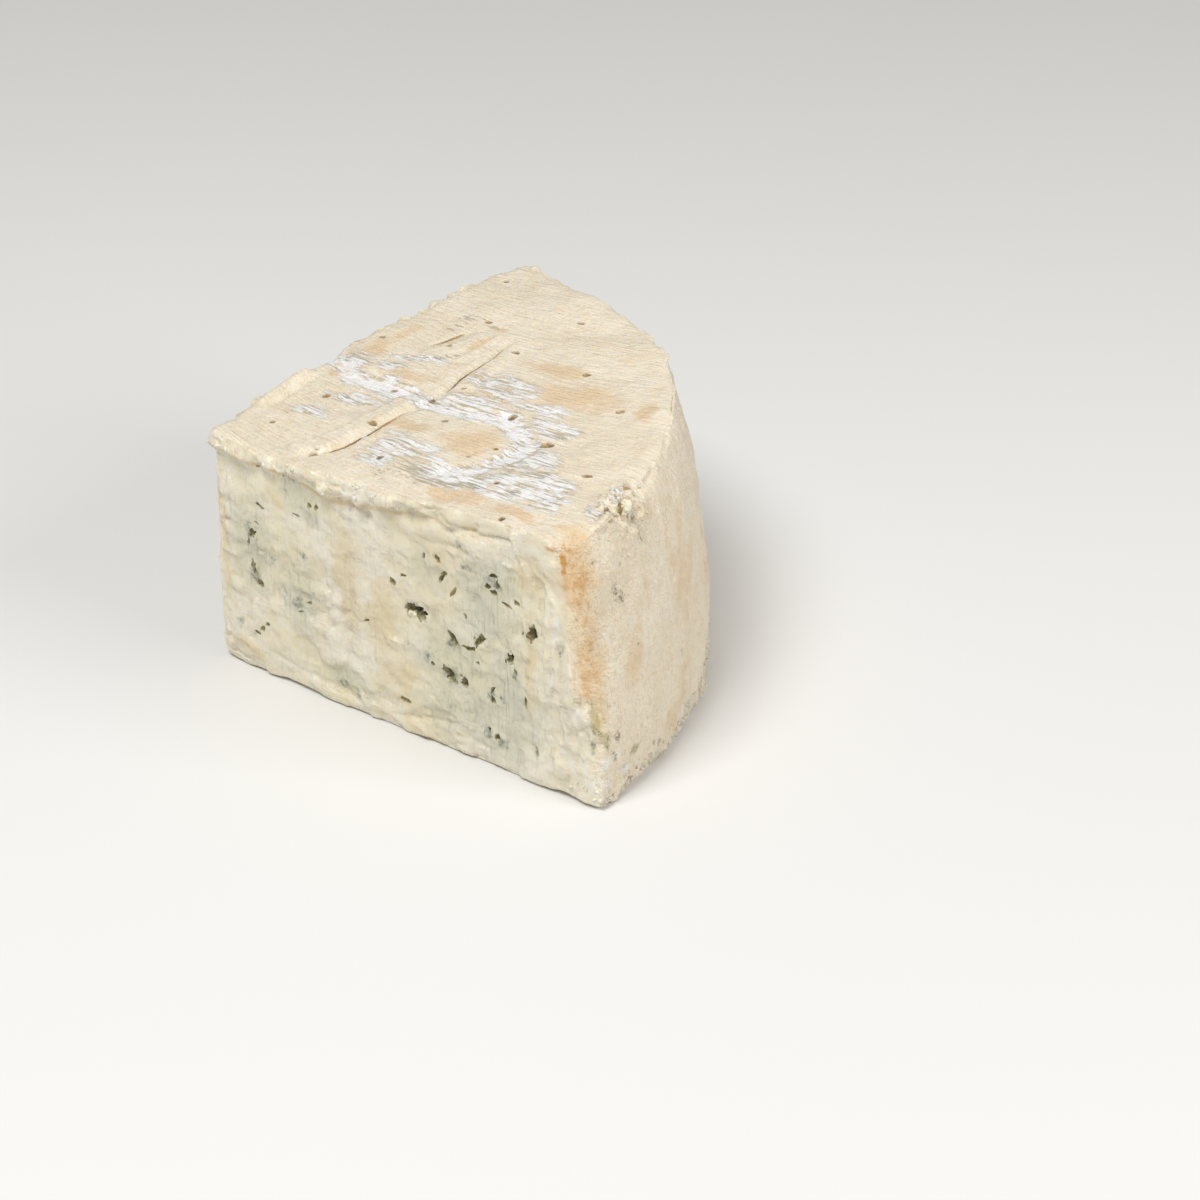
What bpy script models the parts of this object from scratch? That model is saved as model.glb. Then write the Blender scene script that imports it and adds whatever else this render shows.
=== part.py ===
"""A quarter cut from a half-height wheel of blue cheese, modelled as one solid.

Metres, +Z up. The wedge rests on its flat base with its box centred on the origin. Its tip, where the
wheel's axis stood, points to -X and the rind's arc to +X. One cut face looks to -Y, the other to +Y.
Until the last step the shape is drawn about the wheel's axis, with angles from the middle of the wedge.
"""

import math

import bmesh
import bpy
import numpy as np
from mathutils import Matrix, Vector, noise

MM = 0.001

# Overall size of the finished wedge
LENGTH = 156 * MM
WIDTH = 215 * MM
HEIGHT = 86 * MM

# The wheel was 30 cm across. The rind's radius in millimetres: a row for each share of the height, with a
# value for each angle in degrees
BELLY_RADIUS = 150 * MM
RIND_ANGLES = (-45, -34, -5, 14, 45)
RIND_SHARES = (0, 0.25, 0.55, 0.8, 1)
RIND_RADII = (
    (155, 153, 154, 154, 151),
    (153, 155, 155, 154, 152),
    (148, 152, 152.5, 153, 152),
    (144, 148, 149, 151.5, 151),
    (141, 141, 143, 149, 151),
)

# The top sinks towards the soft tip, and along the front cut
TIP_SAG = 5 * MM
TIP_REACH = 60 * MM
FRONT_SAG = 2.5 * MM
FRONT_REACH = 17 * MM
FRONT_SAG_ENDS = (12 * MM, 135 * MM)

# Softness of the edges, as smoothing passes of the grid
EDGE_PASSES = 2
RIM_BAND = 12 * MM
RIM_PASSES = 6
CORNER_BAND = 15 * MM
CORNER_FOOT = 5 * MM
CORNER_PASSES = 16

# The rind's lip, which overhangs the top of each cut face and has a crease under it
LIP_DROP = 3.5 * MM
LIP_HALF_HEIGHT = 3.5 * MM
LIP_REACH = 3.6 * MM
LIP_ENDS = (-8 * MM, 104 * MM)
LIP_LUMP = 9 * MM
CREASE_DROP = 9 * MM
CREASE_DEPTH = 0.9 * MM

# Relief of each kind of surface: depth and size of its lumps
CUT_RELIEF = ((1.2 * MM, 36 * MM), (0.9 * MM, 12 * MM))
RIND_RELIEF = ((1.2 * MM, 30 * MM), (0.7 * MM, 9 * MM))
CRUMBLY_BAND = 8 * MM
CRUMBLE = ((1.6 * MM, 6 * MM),)

# Grid of the blank
CELLS_ACROSS = 32
CELLS_UP = 20
EDGE_CROWDING = 0.055
FLAT_LIMIT = 0.05 * MM

# Holes that the piercing needles left in the top rind: millimetres from the axis, and angle in degrees
NEEDLE_RADIUS = 1.4 * MM
NEEDLE_TAPER = 0.5
NEEDLE_DEPTH = 8 * MM
NEEDLE_SIDES = 8
NEEDLE_HOLES = (
    (134, 42), (132, 24), (108, 32), (88, 29), (103, 19), (119, 7), (60, 15), (80, 7), (69, 5), (126, -6),
    (40, 23), (19, 7), (93, -7), (73, -9), (50, -10), (36, -33), (106, -18), (59, -32), (85, -26),
    (92, -21), (124, -27), (101, -34), (115, -44), (76, 42),
)

# Pockets where the blue mould grew, on each cut face, in millimetres: distance along the cut from the
# axis, height above the base, width and height of the pocket, and then its tilt in degrees
POCKET_DEPTH = 4.5 * MM
POCKET_ROUGHNESS = 0.34
FRONT_POCKETS = (
    (82, 44, 7.5, 4.6, -8), (97, 40, 4.4, 6.6, -30), (107, 43, 3.2, 6.5, 30), (103, 38, 6, 3.2, -20),
    (95, 27, 4, 6.6, -35), (101, 26, 4.4, 4.4, 20), (120, 41, 4, 4.6, 10), (128, 52, 3.6, 7, 12),
    (124, 51, 2.4, 2.8, 30), (122, 60, 5.4, 2.6, 35), (112, 62, 5.4, 3, -10), (116, 66, 2.6, 4.4, 15),
    (93, 58, 2.8, 5.6, 30), (92, 65, 2.4, 4.4, -15), (73, 50, 4, 5, 35), (17, 49, 4, 6.4, 35),
    (17, 32, 4.4, 7, -25), (20, 18, 5.4, 3.4, 35), (42, 66, 5, 2.8, -15), (112, 25, 2.4, 5.6, -5),
    (126, 27, 2.4, 4.4, 0), (114, 11, 3.4, 3.6, 10), (129, 11, 2.6, 3, 0), (78, 11, 5, 2.2, 8),
)
BACK_POCKETS = (
    (24, 44, 5, 4.5, 20), (39, 21, 4, 6, -30), (52, 55, 6, 4, 15), (71, 36, 5.5, 5, -20),
    (66, 12, 3.5, 5, 40), (88, 52, 4, 6, -10), (97, 27, 6.5, 4.5, 25), (113, 41, 4, 5.5, 0),
    (119, 16, 5, 4, -35), (131, 58, 3, 5, 30),
)

# Marks of the draining rack on the top: points along each groove, in millimetres from the axis
GROOVE_RADIUS = 1.1 * MM
GROOVE_DEPTH = 0.8 * MM
GROOVE_SIDES = 6
GROOVES = (
    ((31, -20), (40, -19), (49, -13), (55, -6), (63, 0)),
    ((73, 10), (79, 19), (87, 28), (97, 42)),
    ((73, 45), (82, 52)),
)

PASTE_COLOUR = (0.80, 0.75, 0.60, 1.0)
PASTE_ROUGHNESS = 0.5

UP = Vector((0, 0, 1))
ALONG_FRONT = Vector((math.sqrt(0.5), -math.sqrt(0.5), 0))
ALONG_BACK = Vector((math.sqrt(0.5), math.sqrt(0.5), 0))


def clear_scene():
    for obj in list(bpy.data.objects):
        bpy.data.objects.remove(obj, do_unlink=True)


def smoothstep(low, high, value):
    share = min(1.0, max(0.0, (value - low) / (high - low)))
    return share * share * (3 - 2 * share)


def gridded_box():
    """A unit box whose faces are even grids."""
    mesh = bmesh.new()
    bmesh.ops.create_cube(mesh, size=1.0, matrix=Matrix.Translation((0.5, 0.5, 0.5)))
    for axis, cells in enumerate((CELLS_ACROSS, CELLS_ACROSS, CELLS_UP)):
        along = [e for e in mesh.edges if abs(e.verts[0].co[axis] - e.verts[1].co[axis]) > 0.5 / CELLS_ACROSS]
        bmesh.ops.subdivide_edges(mesh, edges=along, cuts=cells - 1, use_grid_fill=True)
    return mesh


def crowded(share):
    """Moves grid lines towards both ends, where the edges need them."""
    return share - EDGE_CROWDING * math.sin(2 * math.pi * share)


def rind_radius(degrees, share):
    """The wheel bellies out low down, and its top edge and the front corner have slumped."""
    column = [np.interp(degrees, RIND_ANGLES, row) for row in RIND_RADII]
    return MM * np.interp(share, RIND_SHARES, column)


def top_height(point):
    """Height of the top rind over this point."""
    radius = point.xy.length
    from_front = (point.x + point.y) * math.sqrt(0.5)
    low, high = FRONT_SAG_ENDS
    front = smoothstep(-low, 2 * low, radius) * (1 - smoothstep(0.6 * high, high, radius))
    sag = TIP_SAG * math.exp(-((radius / TIP_REACH) ** 2))
    return HEIGHT - sag - FRONT_SAG * front * math.exp(-((from_front / FRONT_REACH) ** 2))


def wedge_point(box_point):
    """Bends a point of the unit box into the quarter wheel: the square becomes a quarter of a disc."""
    a, b, share = map(crowded, box_point)
    flat = ALONG_FRONT * (a * math.sqrt(1 - b * b / 2)) + ALONG_BACK * (b * math.sqrt(1 - a * a / 2))
    point = flat * rind_radius(math.degrees(math.atan2(flat.y, flat.x)), share)
    point.z = share * top_height(point)
    return point


def near_rim(point):
    return point.xy.length > BELLY_RADIUS - RIM_BAND and point.z > HEIGHT - RIM_BAND


def near_front_corner(point):
    out = point.dot(ALONG_FRONT) > BELLY_RADIUS - CORNER_BAND and point.x + point.y < CORNER_BAND
    return out and point.z > CORNER_FOOT


def soften_edges(mesh):
    """Rounds every edge a little, and the top of the rind and the slumped front corner by more."""
    rim = [v for v in mesh.verts if near_rim(v.co)]
    corner = [v for v in mesh.verts if near_front_corner(v.co)]
    for verts, passes in ((mesh.verts, EDGE_PASSES), (rim, RIM_PASSES), (corner, CORNER_PASSES)):
        for _ in range(passes):
            bmesh.ops.smooth_vert(
                mesh, verts=verts, factor=0.5, use_axis_x=True, use_axis_y=True, use_axis_z=True
            )


def lumps(point, layers):
    return sum(depth * noise.noise(point / size + Vector((size, depth, 0)) * 1000) for depth, size in layers)


def lip(point, along):
    """How far the rind's lip stands out over a cut face, or the crease under it goes in."""
    low, high = LIP_ENDS
    reach = smoothstep(low, -low, along) * (1 - smoothstep(0.7 * high, high, along))
    lumpy = 0.8 + 0.7 * noise.noise(Vector((along / LIP_LUMP, point.y / LIP_LUMP, 0)))
    drop = top_height(point) - point.z
    out = LIP_REACH * lumpy * math.exp(-(((drop - LIP_DROP) / LIP_HALF_HEIGHT) ** 2))
    crease = CREASE_DEPTH * math.exp(-(((drop - CREASE_DROP) / LIP_HALF_HEIGHT) ** 2))
    return reach * (out - crease)


def relief(point, normal):
    """How far the surface stands out of the smooth wedge."""
    on_front = max(0.0, -normal.dot(ALONG_BACK))
    on_back = max(0.0, -normal.dot(ALONG_FRONT))
    on_cut = max(on_front, on_back) ** 2
    out = on_cut * lumps(point, CUT_RELIEF) + (1 - on_cut) * lumps(point, RIND_RELIEF)
    out += on_front * lip(point, point.dot(ALONG_FRONT)) + on_back * lip(point, point.dot(ALONG_BACK))
    return out + (1 - on_cut) * (1 - smoothstep(0, CRUMBLY_BAND, point.z)) * lumps(point, CRUMBLE)


def add_relief(mesh):
    """Adds the relief everywhere but on the base, which is made quite flat."""
    mesh.normal_update()
    moves = [v.normal * relief(v.co, v.normal) for v in mesh.verts]
    for vert, move in zip(mesh.verts, moves):
        if vert.co.z < FLAT_LIMIT:
            vert.co.z = 0
        else:
            vert.co += move
            vert.co.z = max(vert.co.z, FLAT_LIMIT)


def close_base(mesh):
    """Makes the flat of the base one face."""
    flat = [f for f in mesh.faces if all(v.co.z == 0 for v in f.verts)]
    bmesh.ops.dissolve_faces(mesh, faces=flat, use_verts=False)


def fit_to_size(mesh):
    """Brings the wedge to its overall size over the origin, and returns the matrix that did it."""
    points = np.array([v.co for v in mesh.verts])
    low, high = points.min(axis=0), points.max(axis=0)
    scale = Matrix.Diagonal(np.append((LENGTH, WIDTH, HEIGHT) / (high - low), 1))
    fit = scale @ Matrix.Translation((-(low[0] + high[0]) / 2, -(low[1] + high[1]) / 2, -low[2]))
    mesh.transform(fit)
    return fit


def new_object(name, mesh, material=None):
    data = bpy.data.meshes.new(name)
    mesh.to_mesh(data)
    mesh.free()
    obj = bpy.data.objects.new(name, data)
    bpy.context.scene.collection.objects.link(obj)
    if material:
        data.materials.append(material)
    return obj


def needle_cutter(fit):
    """Every needle hole as a tapered bore, all in one mesh."""
    mesh = bmesh.new()
    for distance, degrees in NEEDLE_HOLES:
        mouth = Matrix.Rotation(math.radians(degrees), 3, "Z") @ Vector((distance * MM, 0, 0))
        mouth.z = top_height(mouth)
        bmesh.ops.create_cone(
            mesh, cap_ends=True, segments=NEEDLE_SIDES, radius1=NEEDLE_RADIUS * NEEDLE_TAPER,
            radius2=NEEDLE_RADIUS * (2 - NEEDLE_TAPER), depth=2 * NEEDLE_DEPTH,
            matrix=Matrix.Translation(fit @ mouth),
        )
    return new_object("needle_cutter", mesh)


def pocket_cutter(fit):
    """Every mould pocket as a rough ball that breaks through its cut face, all in one mesh."""
    mesh = bmesh.new()
    cuts = ((ALONG_FRONT, ALONG_BACK, FRONT_POCKETS), (ALONG_BACK, ALONG_FRONT, BACK_POCKETS))
    for along, inward, pockets in cuts:
        for distance, height, wide, tall, tilt in pockets:
            axes = Matrix((along, inward, UP)).transposed().to_4x4()
            turn = Matrix.Rotation(math.radians(tilt), 4, "Y")
            size = Matrix.Diagonal((wide * MM / 2, POCKET_DEPTH, tall * MM / 2, 1))
            centre = fit @ (along * distance * MM + UP * height * MM)
            place = Matrix.Translation(centre) @ axes @ turn @ size
            for vert in bmesh.ops.create_icosphere(mesh, subdivisions=1, radius=1.0)["verts"]:
                rough = 1 + POCKET_ROUGHNESS * noise.noise(vert.co * 1.7 + Vector((distance, height, 0)))
                vert.co = place @ (vert.co * rough)
    bmesh.ops.recalc_face_normals(mesh, faces=mesh.faces)
    return new_object("pocket_cutter", mesh)


def groove_ring(mesh, fit, line, i):
    """The groove's section at one point of its line."""
    points = [Vector((x, y, 0)) * MM for x, y in (line[0], *line, line[-1])]
    side = (points[i + 2] - points[i]).normalized().cross(UP)
    here = points[i + 1]
    here.z = top_height(here) + GROOVE_RADIUS - GROOVE_DEPTH
    turns = [2 * math.pi * k / GROOVE_SIDES for k in range(GROOVE_SIDES)]
    offsets = [(side * math.cos(t) + UP * math.sin(t)) * GROOVE_RADIUS for t in turns]
    return [mesh.verts.new(fit @ here + offset) for offset in offsets]


def groove_cutter(fit):
    """The rack's marks: a bar along each line, sunk into the top rind."""
    mesh = bmesh.new()
    for line in GROOVES:
        rings = [groove_ring(mesh, fit, line, i) for i in range(len(line))]
        for one, two in zip(rings, rings[1:]):
            for k in range(GROOVE_SIDES):
                mesh.faces.new((one[k - 1], one[k], two[k], two[k - 1]))
        mesh.faces.new(rings[0])
        mesh.faces.new(rings[-1])
    bmesh.ops.recalc_face_normals(mesh, faces=mesh.faces)
    return new_object("groove_cutter", mesh)


def cut_away(obj, cutter):
    cutter.hide_render = True
    cutter.display_type = "WIRE"
    modifier = obj.modifiers.new(cutter.name, "BOOLEAN")
    modifier.operation = "DIFFERENCE"
    modifier.solver = "EXACT"
    modifier.object = cutter


def paste_material():
    material = bpy.data.materials.new("cheese")
    material.use_nodes = True
    shader = material.node_tree.nodes["Principled BSDF"]
    shader.inputs["Base Color"].default_value = PASTE_COLOUR
    shader.inputs["Roughness"].default_value = PASTE_ROUGHNESS
    return material


def cheese_wedge():
    mesh = gridded_box()
    for vert in mesh.verts:
        vert.co = wedge_point(vert.co)
    soften_edges(mesh)
    add_relief(mesh)
    close_base(mesh)
    fit = fit_to_size(mesh)
    wedge = new_object("cheese_wedge", mesh, paste_material())
    for cutter in (pocket_cutter(fit), needle_cutter(fit), groove_cutter(fit)):
        cut_away(wedge, cutter)


clear_scene()
cheese_wedge()
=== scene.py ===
"""A quarter wheel of blue cheese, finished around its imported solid.

Metres, +Z up, in the solid's own frame. The wedge's shape is drawn about the wheel's axis, with the tip at
the origin, and is moved onto the solid at the end. Lists of places are in millimetres.
"""

import itertools
import math
from types import SimpleNamespace

import bmesh
import bpy
import numpy as np
from bpy.props import FloatProperty, FloatVectorProperty, IntProperty, PointerProperty
from mathutils import Matrix, Vector, noise
from mathutils.bvhtree import BVHTree


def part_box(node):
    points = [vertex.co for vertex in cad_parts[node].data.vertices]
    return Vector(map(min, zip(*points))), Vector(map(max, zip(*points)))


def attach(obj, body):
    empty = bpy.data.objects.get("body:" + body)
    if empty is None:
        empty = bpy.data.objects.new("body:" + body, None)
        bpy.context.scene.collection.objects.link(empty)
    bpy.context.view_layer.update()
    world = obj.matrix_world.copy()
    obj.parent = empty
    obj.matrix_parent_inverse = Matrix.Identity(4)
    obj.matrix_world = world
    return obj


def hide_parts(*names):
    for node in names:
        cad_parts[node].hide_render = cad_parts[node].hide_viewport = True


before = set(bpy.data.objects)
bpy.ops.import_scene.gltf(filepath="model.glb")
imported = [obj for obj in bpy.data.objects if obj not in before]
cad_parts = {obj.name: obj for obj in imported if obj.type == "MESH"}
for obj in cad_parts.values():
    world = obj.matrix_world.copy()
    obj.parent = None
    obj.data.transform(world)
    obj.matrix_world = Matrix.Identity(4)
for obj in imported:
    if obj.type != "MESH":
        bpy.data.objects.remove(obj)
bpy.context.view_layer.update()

bl_info = {
    "name": "Blue cheese wedge",
    "version": (1, 0, 0),
    "blender": (4, 5, 0),
    "location": "View3D > Sidebar > Cheese",
    "description": "Builds a wedge of blue cheese with its rind, mould and crumbs",
    "category": "Object",
}

MM = 0.001
UP = Vector((0, 0, 1))
ALONG_FRONT = Vector((math.sqrt(0.5), -math.sqrt(0.5), 0))
ALONG_BACK = Vector((math.sqrt(0.5), math.sqrt(0.5), 0))

# The rind's radius in millimetres: a row for each share of the height, a value for each angle in degrees
BELLY_RADIUS = 150 * MM
RIND_ANGLES = (-45, -34, -5, 14, 45)
RIND_SHARES = (0, 0.25, 0.55, 0.8, 1)
RIND_RADII = (
    (155, 153, 154, 154, 151),
    (153, 155, 155, 154, 152),
    (148, 152, 152.5, 153, 152),
    (144, 148, 149, 151.5, 151),
    (141, 141, 143, 149, 151),
)
HEIGHT = 86 * MM
TIP_SAG = 5 * MM
TIP_REACH = 60 * MM
FRONT_SAG = 2.5 * MM
FRONT_REACH = 17 * MM
FRONT_SAG_ENDS = (12 * MM, 135 * MM)
EDGE_PASSES = 3
RIM_BAND = 12 * MM
RIM_PASSES = 9
CORNER_BAND = 15 * MM
CORNER_FOOT = 5 * MM
CORNER_PASSES = 24
EDGE_CROWDING = 0.055
FLAT_LIMIT = 0.05 * MM
# Edges that turn by more than this stay sharp
SHARP_ANGLE = math.radians(50)

# The lip of rind over each cut: where its lower edge runs, as distance along the cut and drop from the top
LIP_EDGE = ((-8, 7), (12, 7), (24, 7), (36, 8), (46, 9.5), (60, 8), (73, 6), (88, 4), (104, 3), (160, 3))
LIP_ENDS = (-8 * MM, 104 * MM)
CREASE_DEPTH = 0.9 * MM
# The front's top edge lies this many millimetres lower than the wedge is high
EDGE_SAG = 4

# Coarse relief of each kind of surface: depth and size of its lumps
CUT_RELIEF = ((1.2 * MM, 36 * MM), (0.9 * MM, 12 * MM))
RIND_RELIEF = ((1.2 * MM, 30 * MM), (0.7 * MM, 9 * MM))
CRUMBLY_BAND = 8 * MM
CRUMBLE = ((1.6 * MM, 6 * MM),)

# Needle holes in the top: millimetres from the axis, angle in degrees, and width against the usual one
NEEDLE_HOLES = (
    (134, 41.9, 0.8), (131.9, 23.8, 0.9), (108, 32.4, 0.9), (88, 28.9, 0.9), (103.2, 18.9, 1),
    (119.3, 7.2, 1.1), (59.9, 15, 0.9), (80, 7.3, 0.7), (69.3, 5.3, 0.8), (126.4, -5.7, 1.1),
    (39.8, 23.2, 1), (19.4, 7, 0.7), (93.4, -7.3, 1.1), (72.6, -9.2, 0.9), (50.2, -10.2, 1.1),
    (36.5, -33.2, 1.1), (106.4, -18.5, 1.7), (59.4, -31.9, 0.9), (85.3, -25.6, 0.6), (91.8, -21.4, 0.7),
    (124.4, -27, 1.2), (101.5, -34.4, 0.8), (115.1, -43.7, 0.8), (76, 42.1, 0.8),
)

# Mould pockets in each cut: distance along it, height, width, height of the pocket, depth, tilt in degrees
FRONT_POCKETS = (
    (81.4, 44, 6.4, 4.2, 5, -8), (84.2, 43, 3.6, 4, 6, 30), (96.6, 39.6, 3.6, 5.4, 5, -30),
    (108.4, 43.6, 2.6, 4, 3.5, 40), (106.4, 41.4, 1.8, 4.6, 3, 15), (103.6, 38.6, 4.6, 1.8, 3, -12),
    (94.6, 26.6, 3, 6.4, 5, -38), (97, 24.6, 2.4, 2.4, 4, 0), (101.4, 25.6, 3.6, 3.8, 4.5, 20),
    (89, 28.4, 1.6, 2, 2.5, 0), (119.6, 40.8, 3, 3.2, 5, 10), (117.4, 38.8, 1.2, 1.4, 2, 0),
    (128.4, 52.6, 3, 6.4, 4.5, 12), (124.4, 50.6, 1.7, 2, 2.5, 30), (122.6, 60.6, 3, 1.6, 2.6, 35),
    (118.6, 58.4, 4.4, 1.1, 2, 15), (111.4, 62.6, 1.7, 2.4, 3, -30), (113.6, 61, 3.4, 1.5, 2.6, 10),
    (115.2, 64.4, 1.4, 4.4, 2.4, 5), (113.8, 67, 4, 1.3, 2, -10), (92.6, 58.6, 1.4, 4.6, 2.4, 32),
    (93.6, 60.6, 2.8, 1.3, 2, -25), (91.6, 65.2, 1.6, 3.8, 2.6, -28), (85.8, 64, 1.3, 2.4, 1.6, 10),
    (73.4, 51.4, 2.8, 3.2, 2.6, 30), (77.8, 55, 2.6, 1.5, 1.8, -15), (98, 56, 1.2, 4.4, 2.4, 28),
    (102.6, 49.4, 1, 2.4, 1.6, -20), (16.4, 49.6, 2.6, 3.4, 3.4, 40), (14.6, 46, 0.9, 3.4, 2, 5),
    (18, 53.4, 2, 1.2, 1.6, 20), (15.4, 36, 1.8, 5.4, 2.2, -25), (17.6, 31.6, 3.6, 3.4, 2.6, -30),
    (21.4, 18.8, 1.6, 2.6, 2.6, 40), (19.2, 16.6, 2, 2.6, 2.6, 25), (17, 14.4, 2.8, 1.5, 2.6, 20),
    (40.4, 66.6, 2, 2, 2, 0), (43.6, 67, 1.6, 2, 2, 20), (34.6, 61.6, 2.8, 0.9, 1.4, 12),
    (19.4, 60, 4.2, 1, 1.8, 10), (21, 74, 4, 1.2, 2.4, -15), (62.6, 34.4, 3, 1, 1.8, -30),
    (111.8, 26.6, 1.3, 3, 2.6, 20), (112.4, 23.6, 1.5, 3, 2.6, -20), (125.4, 27.6, 1.1, 4.2, 2, 0),
    (113.8, 11, 2.6, 2.2, 2.6, -30), (110.6, 12.6, 1.3, 2, 2, 20), (129.4, 11, 1.5, 2.6, 2, -30),
    (78, 11.6, 4.6, 1.3, 2.2, 3), (120.4, 43.6, 0.9, 1.2, 1.4, 0), (121.8, 37, 0.9, 2, 1.4, -20),
    (106.6, 34.4, 2, 1.4, 1.6, 0), (39.6, 32.6, 2, 0.9, 1.4, -10), (36.4, 28.8, 2.6, 0.9, 1.4, -15),
)
BACK_POCKETS = (
    (24, 44, 5, 4.5, 4.5, 20), (39, 21, 4, 6, 4.5, -30), (52, 55, 6, 4, 4.5, 15), (71, 36, 5.5, 5, 4.5, -20),
    (66, 12, 3.5, 5, 4, 40), (88, 52, 4, 6, 4.5, -10), (97, 27, 6.5, 4.5, 4.5, 25), (113, 41, 4, 5.5, 4, 0),
    (119, 16, 5, 4, 4, -35), (131, 58, 3, 5, 4, 30), (27, 46, 2, 4, 3, -20), (55, 53, 3, 1.5, 3, -30),
    (74, 34, 1.6, 4, 3, 20), (100, 30, 2, 4, 3, 10), (44, 38, 1.4, 3.4, 2.6, 30), (83, 20, 4, 1.2, 2.4, 15),
    (107, 60, 1.4, 4, 2.4, -15), (60, 66, 3, 1.2, 2, 0), (17, 22, 1.4, 3, 2, 20), (124, 36, 1.2, 4, 2.4, 0),
    (92, 41, 1.2, 2.4, 2, -30), (33, 60, 3, 1, 2, 10),
)

# Hollows of the torn place: x and y on the top, and the rest as above
SCAR_POCKETS = (
    (122, -65.3, 2.4, 1.8, 2.6, 0), (121.2, -69.7, 3, 1.3, 2.4, 30), (118.6, -77, 2.6, 2, 3, 20),
    (122, -73.2, 1.5, 4, 3, -10), (114.3, -78.4, 2.6, 1.5, 2.2, 40), (115.4, -81.5, 2.2, 1.5, 2.2, 10),
    (112.2, -81.5, 1.5, 1.5, 1.8, 0), (118, -72.4, 1.3, 2, 1.8, 30),
)

# Pockets over this many square millimetres have smaller hollows round them
LARGE_POCKET = 7
SATELLITES = 3
# Hollows with a longer half side than this have finer faces
LARGE_BALL = 2.3 * MM
LARGE_FACES, SMALL_FACES = 3, 2
# A hollow's half sides against its size, its extra depth, how deep its middle lies, and its reach around
BALL_SIZE = 0.52
BALL_DEPTH = 1.5
BALL_SINK = 0.25
BALL_GAP = 1.4
# Height over the surface from which a place on it is looked for
RAY_START = 25 * MM

# Share of its width that a groove has at its first point, its second and the rest, from either end
GROOVE_TAPER = (0.35, 0.8, 1)
# Marks of the draining rack on the top: points along each groove, and its width against the usual one
GROOVES = (
    (((31, -20), (36, -20.3), (40, -19), (44, -16.6), (49, -13.5), (53, -8.4), (58, -3.6), (63, 0)), 1.0),
    (((73, 10), (76, 14), (79, 19), (83, 24), (87, 28), (90, 32), (93, 37), (97, 42)), 0.9),
    (((70, 45), (73, 46.3), (76, 48), (79, 50), (82, 52), (85, 51.5), (88, 49)), 1.0),
)


def smoothstep(low, high, value):
    """0 at low and 1 at high, whichever is larger."""
    share = np.clip((value - low) / (high - low), 0, 1)
    return share * share * (3 - 2 * share)


# Coarse form, the same as the solid's


def gridded_box(across, up):
    """A unit box whose faces are even grids."""
    mesh = bmesh.new()
    bmesh.ops.create_cube(mesh, size=1.0, matrix=Matrix.Translation((0.5, 0.5, 0.5)))
    for axis, cells in enumerate((across, across, up)):
        along = [e for e in mesh.edges if abs(e.verts[0].co[axis] - e.verts[1].co[axis]) > 0.5 / across]
        bmesh.ops.subdivide_edges(mesh, edges=along, cuts=cells - 1, use_grid_fill=True)
    return mesh


def crowded(share):
    """Moves grid lines towards both ends, where the edges need them."""
    return share - EDGE_CROWDING * math.sin(2 * math.pi * share)


def rind_radius(degrees, share):
    """The wheel bellies out low down, and its top edge and the front corner have slumped."""
    column = [np.interp(degrees, RIND_ANGLES, row) for row in RIND_RADII]
    return MM * np.interp(share, RIND_SHARES, column)


def top_height(point):
    """Height of the top rind over this point."""
    radius = math.hypot(point[0], point[1])
    from_front = (point[0] + point[1]) * math.sqrt(0.5)
    low, high = FRONT_SAG_ENDS
    front = smoothstep(-low, 2 * low, radius) * (1 - smoothstep(0.6 * high, high, radius))
    sag = TIP_SAG * math.exp(-((radius / TIP_REACH) ** 2))
    return HEIGHT - sag - FRONT_SAG * front * math.exp(-((from_front / FRONT_REACH) ** 2))


def wedge_point(box_point):
    """Bends a point of the unit box into the quarter wheel: the square becomes a quarter of a disc."""
    a, b, share = map(crowded, box_point)
    flat = ALONG_FRONT * (a * math.sqrt(1 - b * b / 2)) + ALONG_BACK * (b * math.sqrt(1 - a * a / 2))
    point = flat * rind_radius(math.degrees(math.atan2(flat.y, flat.x)), share)
    point.z = share * top_height(point)
    return point


def near_rim(point):
    return point.xy.length > BELLY_RADIUS - RIM_BAND and point.z > HEIGHT - RIM_BAND


def near_front_corner(point):
    out = point.dot(ALONG_FRONT) > BELLY_RADIUS - CORNER_BAND and point.x + point.y < CORNER_BAND
    return out and point.z > CORNER_FOOT


def soften_edges(mesh):
    """Rounds every edge a little, and the top of the rind and the slumped front corner by more."""
    rim = [v for v in mesh.verts if near_rim(v.co)]
    corner = [v for v in mesh.verts if near_front_corner(v.co)]
    for verts, passes in ((mesh.verts, EDGE_PASSES), (rim, RIM_PASSES), (corner, CORNER_PASSES)):
        for _ in range(passes):
            bmesh.ops.smooth_vert(
                mesh, verts=verts, factor=0.5, use_axis_x=True, use_axis_y=True, use_axis_z=True
            )


def lumps(point, layers):
    return sum(depth * noise.noise(point / size + Vector((size, depth, 0)) * 1000) for depth, size in layers)


def lip(point, along, reach):
    """How far the rind's lip stands out over a cut face, or the crease under it goes in."""
    low, high = LIP_ENDS
    here = smoothstep(low, -low, along) * (1 - smoothstep(0.7 * high, high, along))
    edge = MM * np.interp(along / MM, *zip(*LIP_EDGE))
    lumpy = 0.9 + 0.8 * noise.noise(Vector((along / 8, point.y / 8, 0)) / MM)
    drop = (top_height(point) - point.z) / edge
    out = reach * lumpy * math.exp(-(((drop - 0.45) / 0.42) ** 4))
    crease = CREASE_DEPTH * math.exp(-(((drop - 1.12) / 0.22) ** 2))
    return here * (out - crease)


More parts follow.
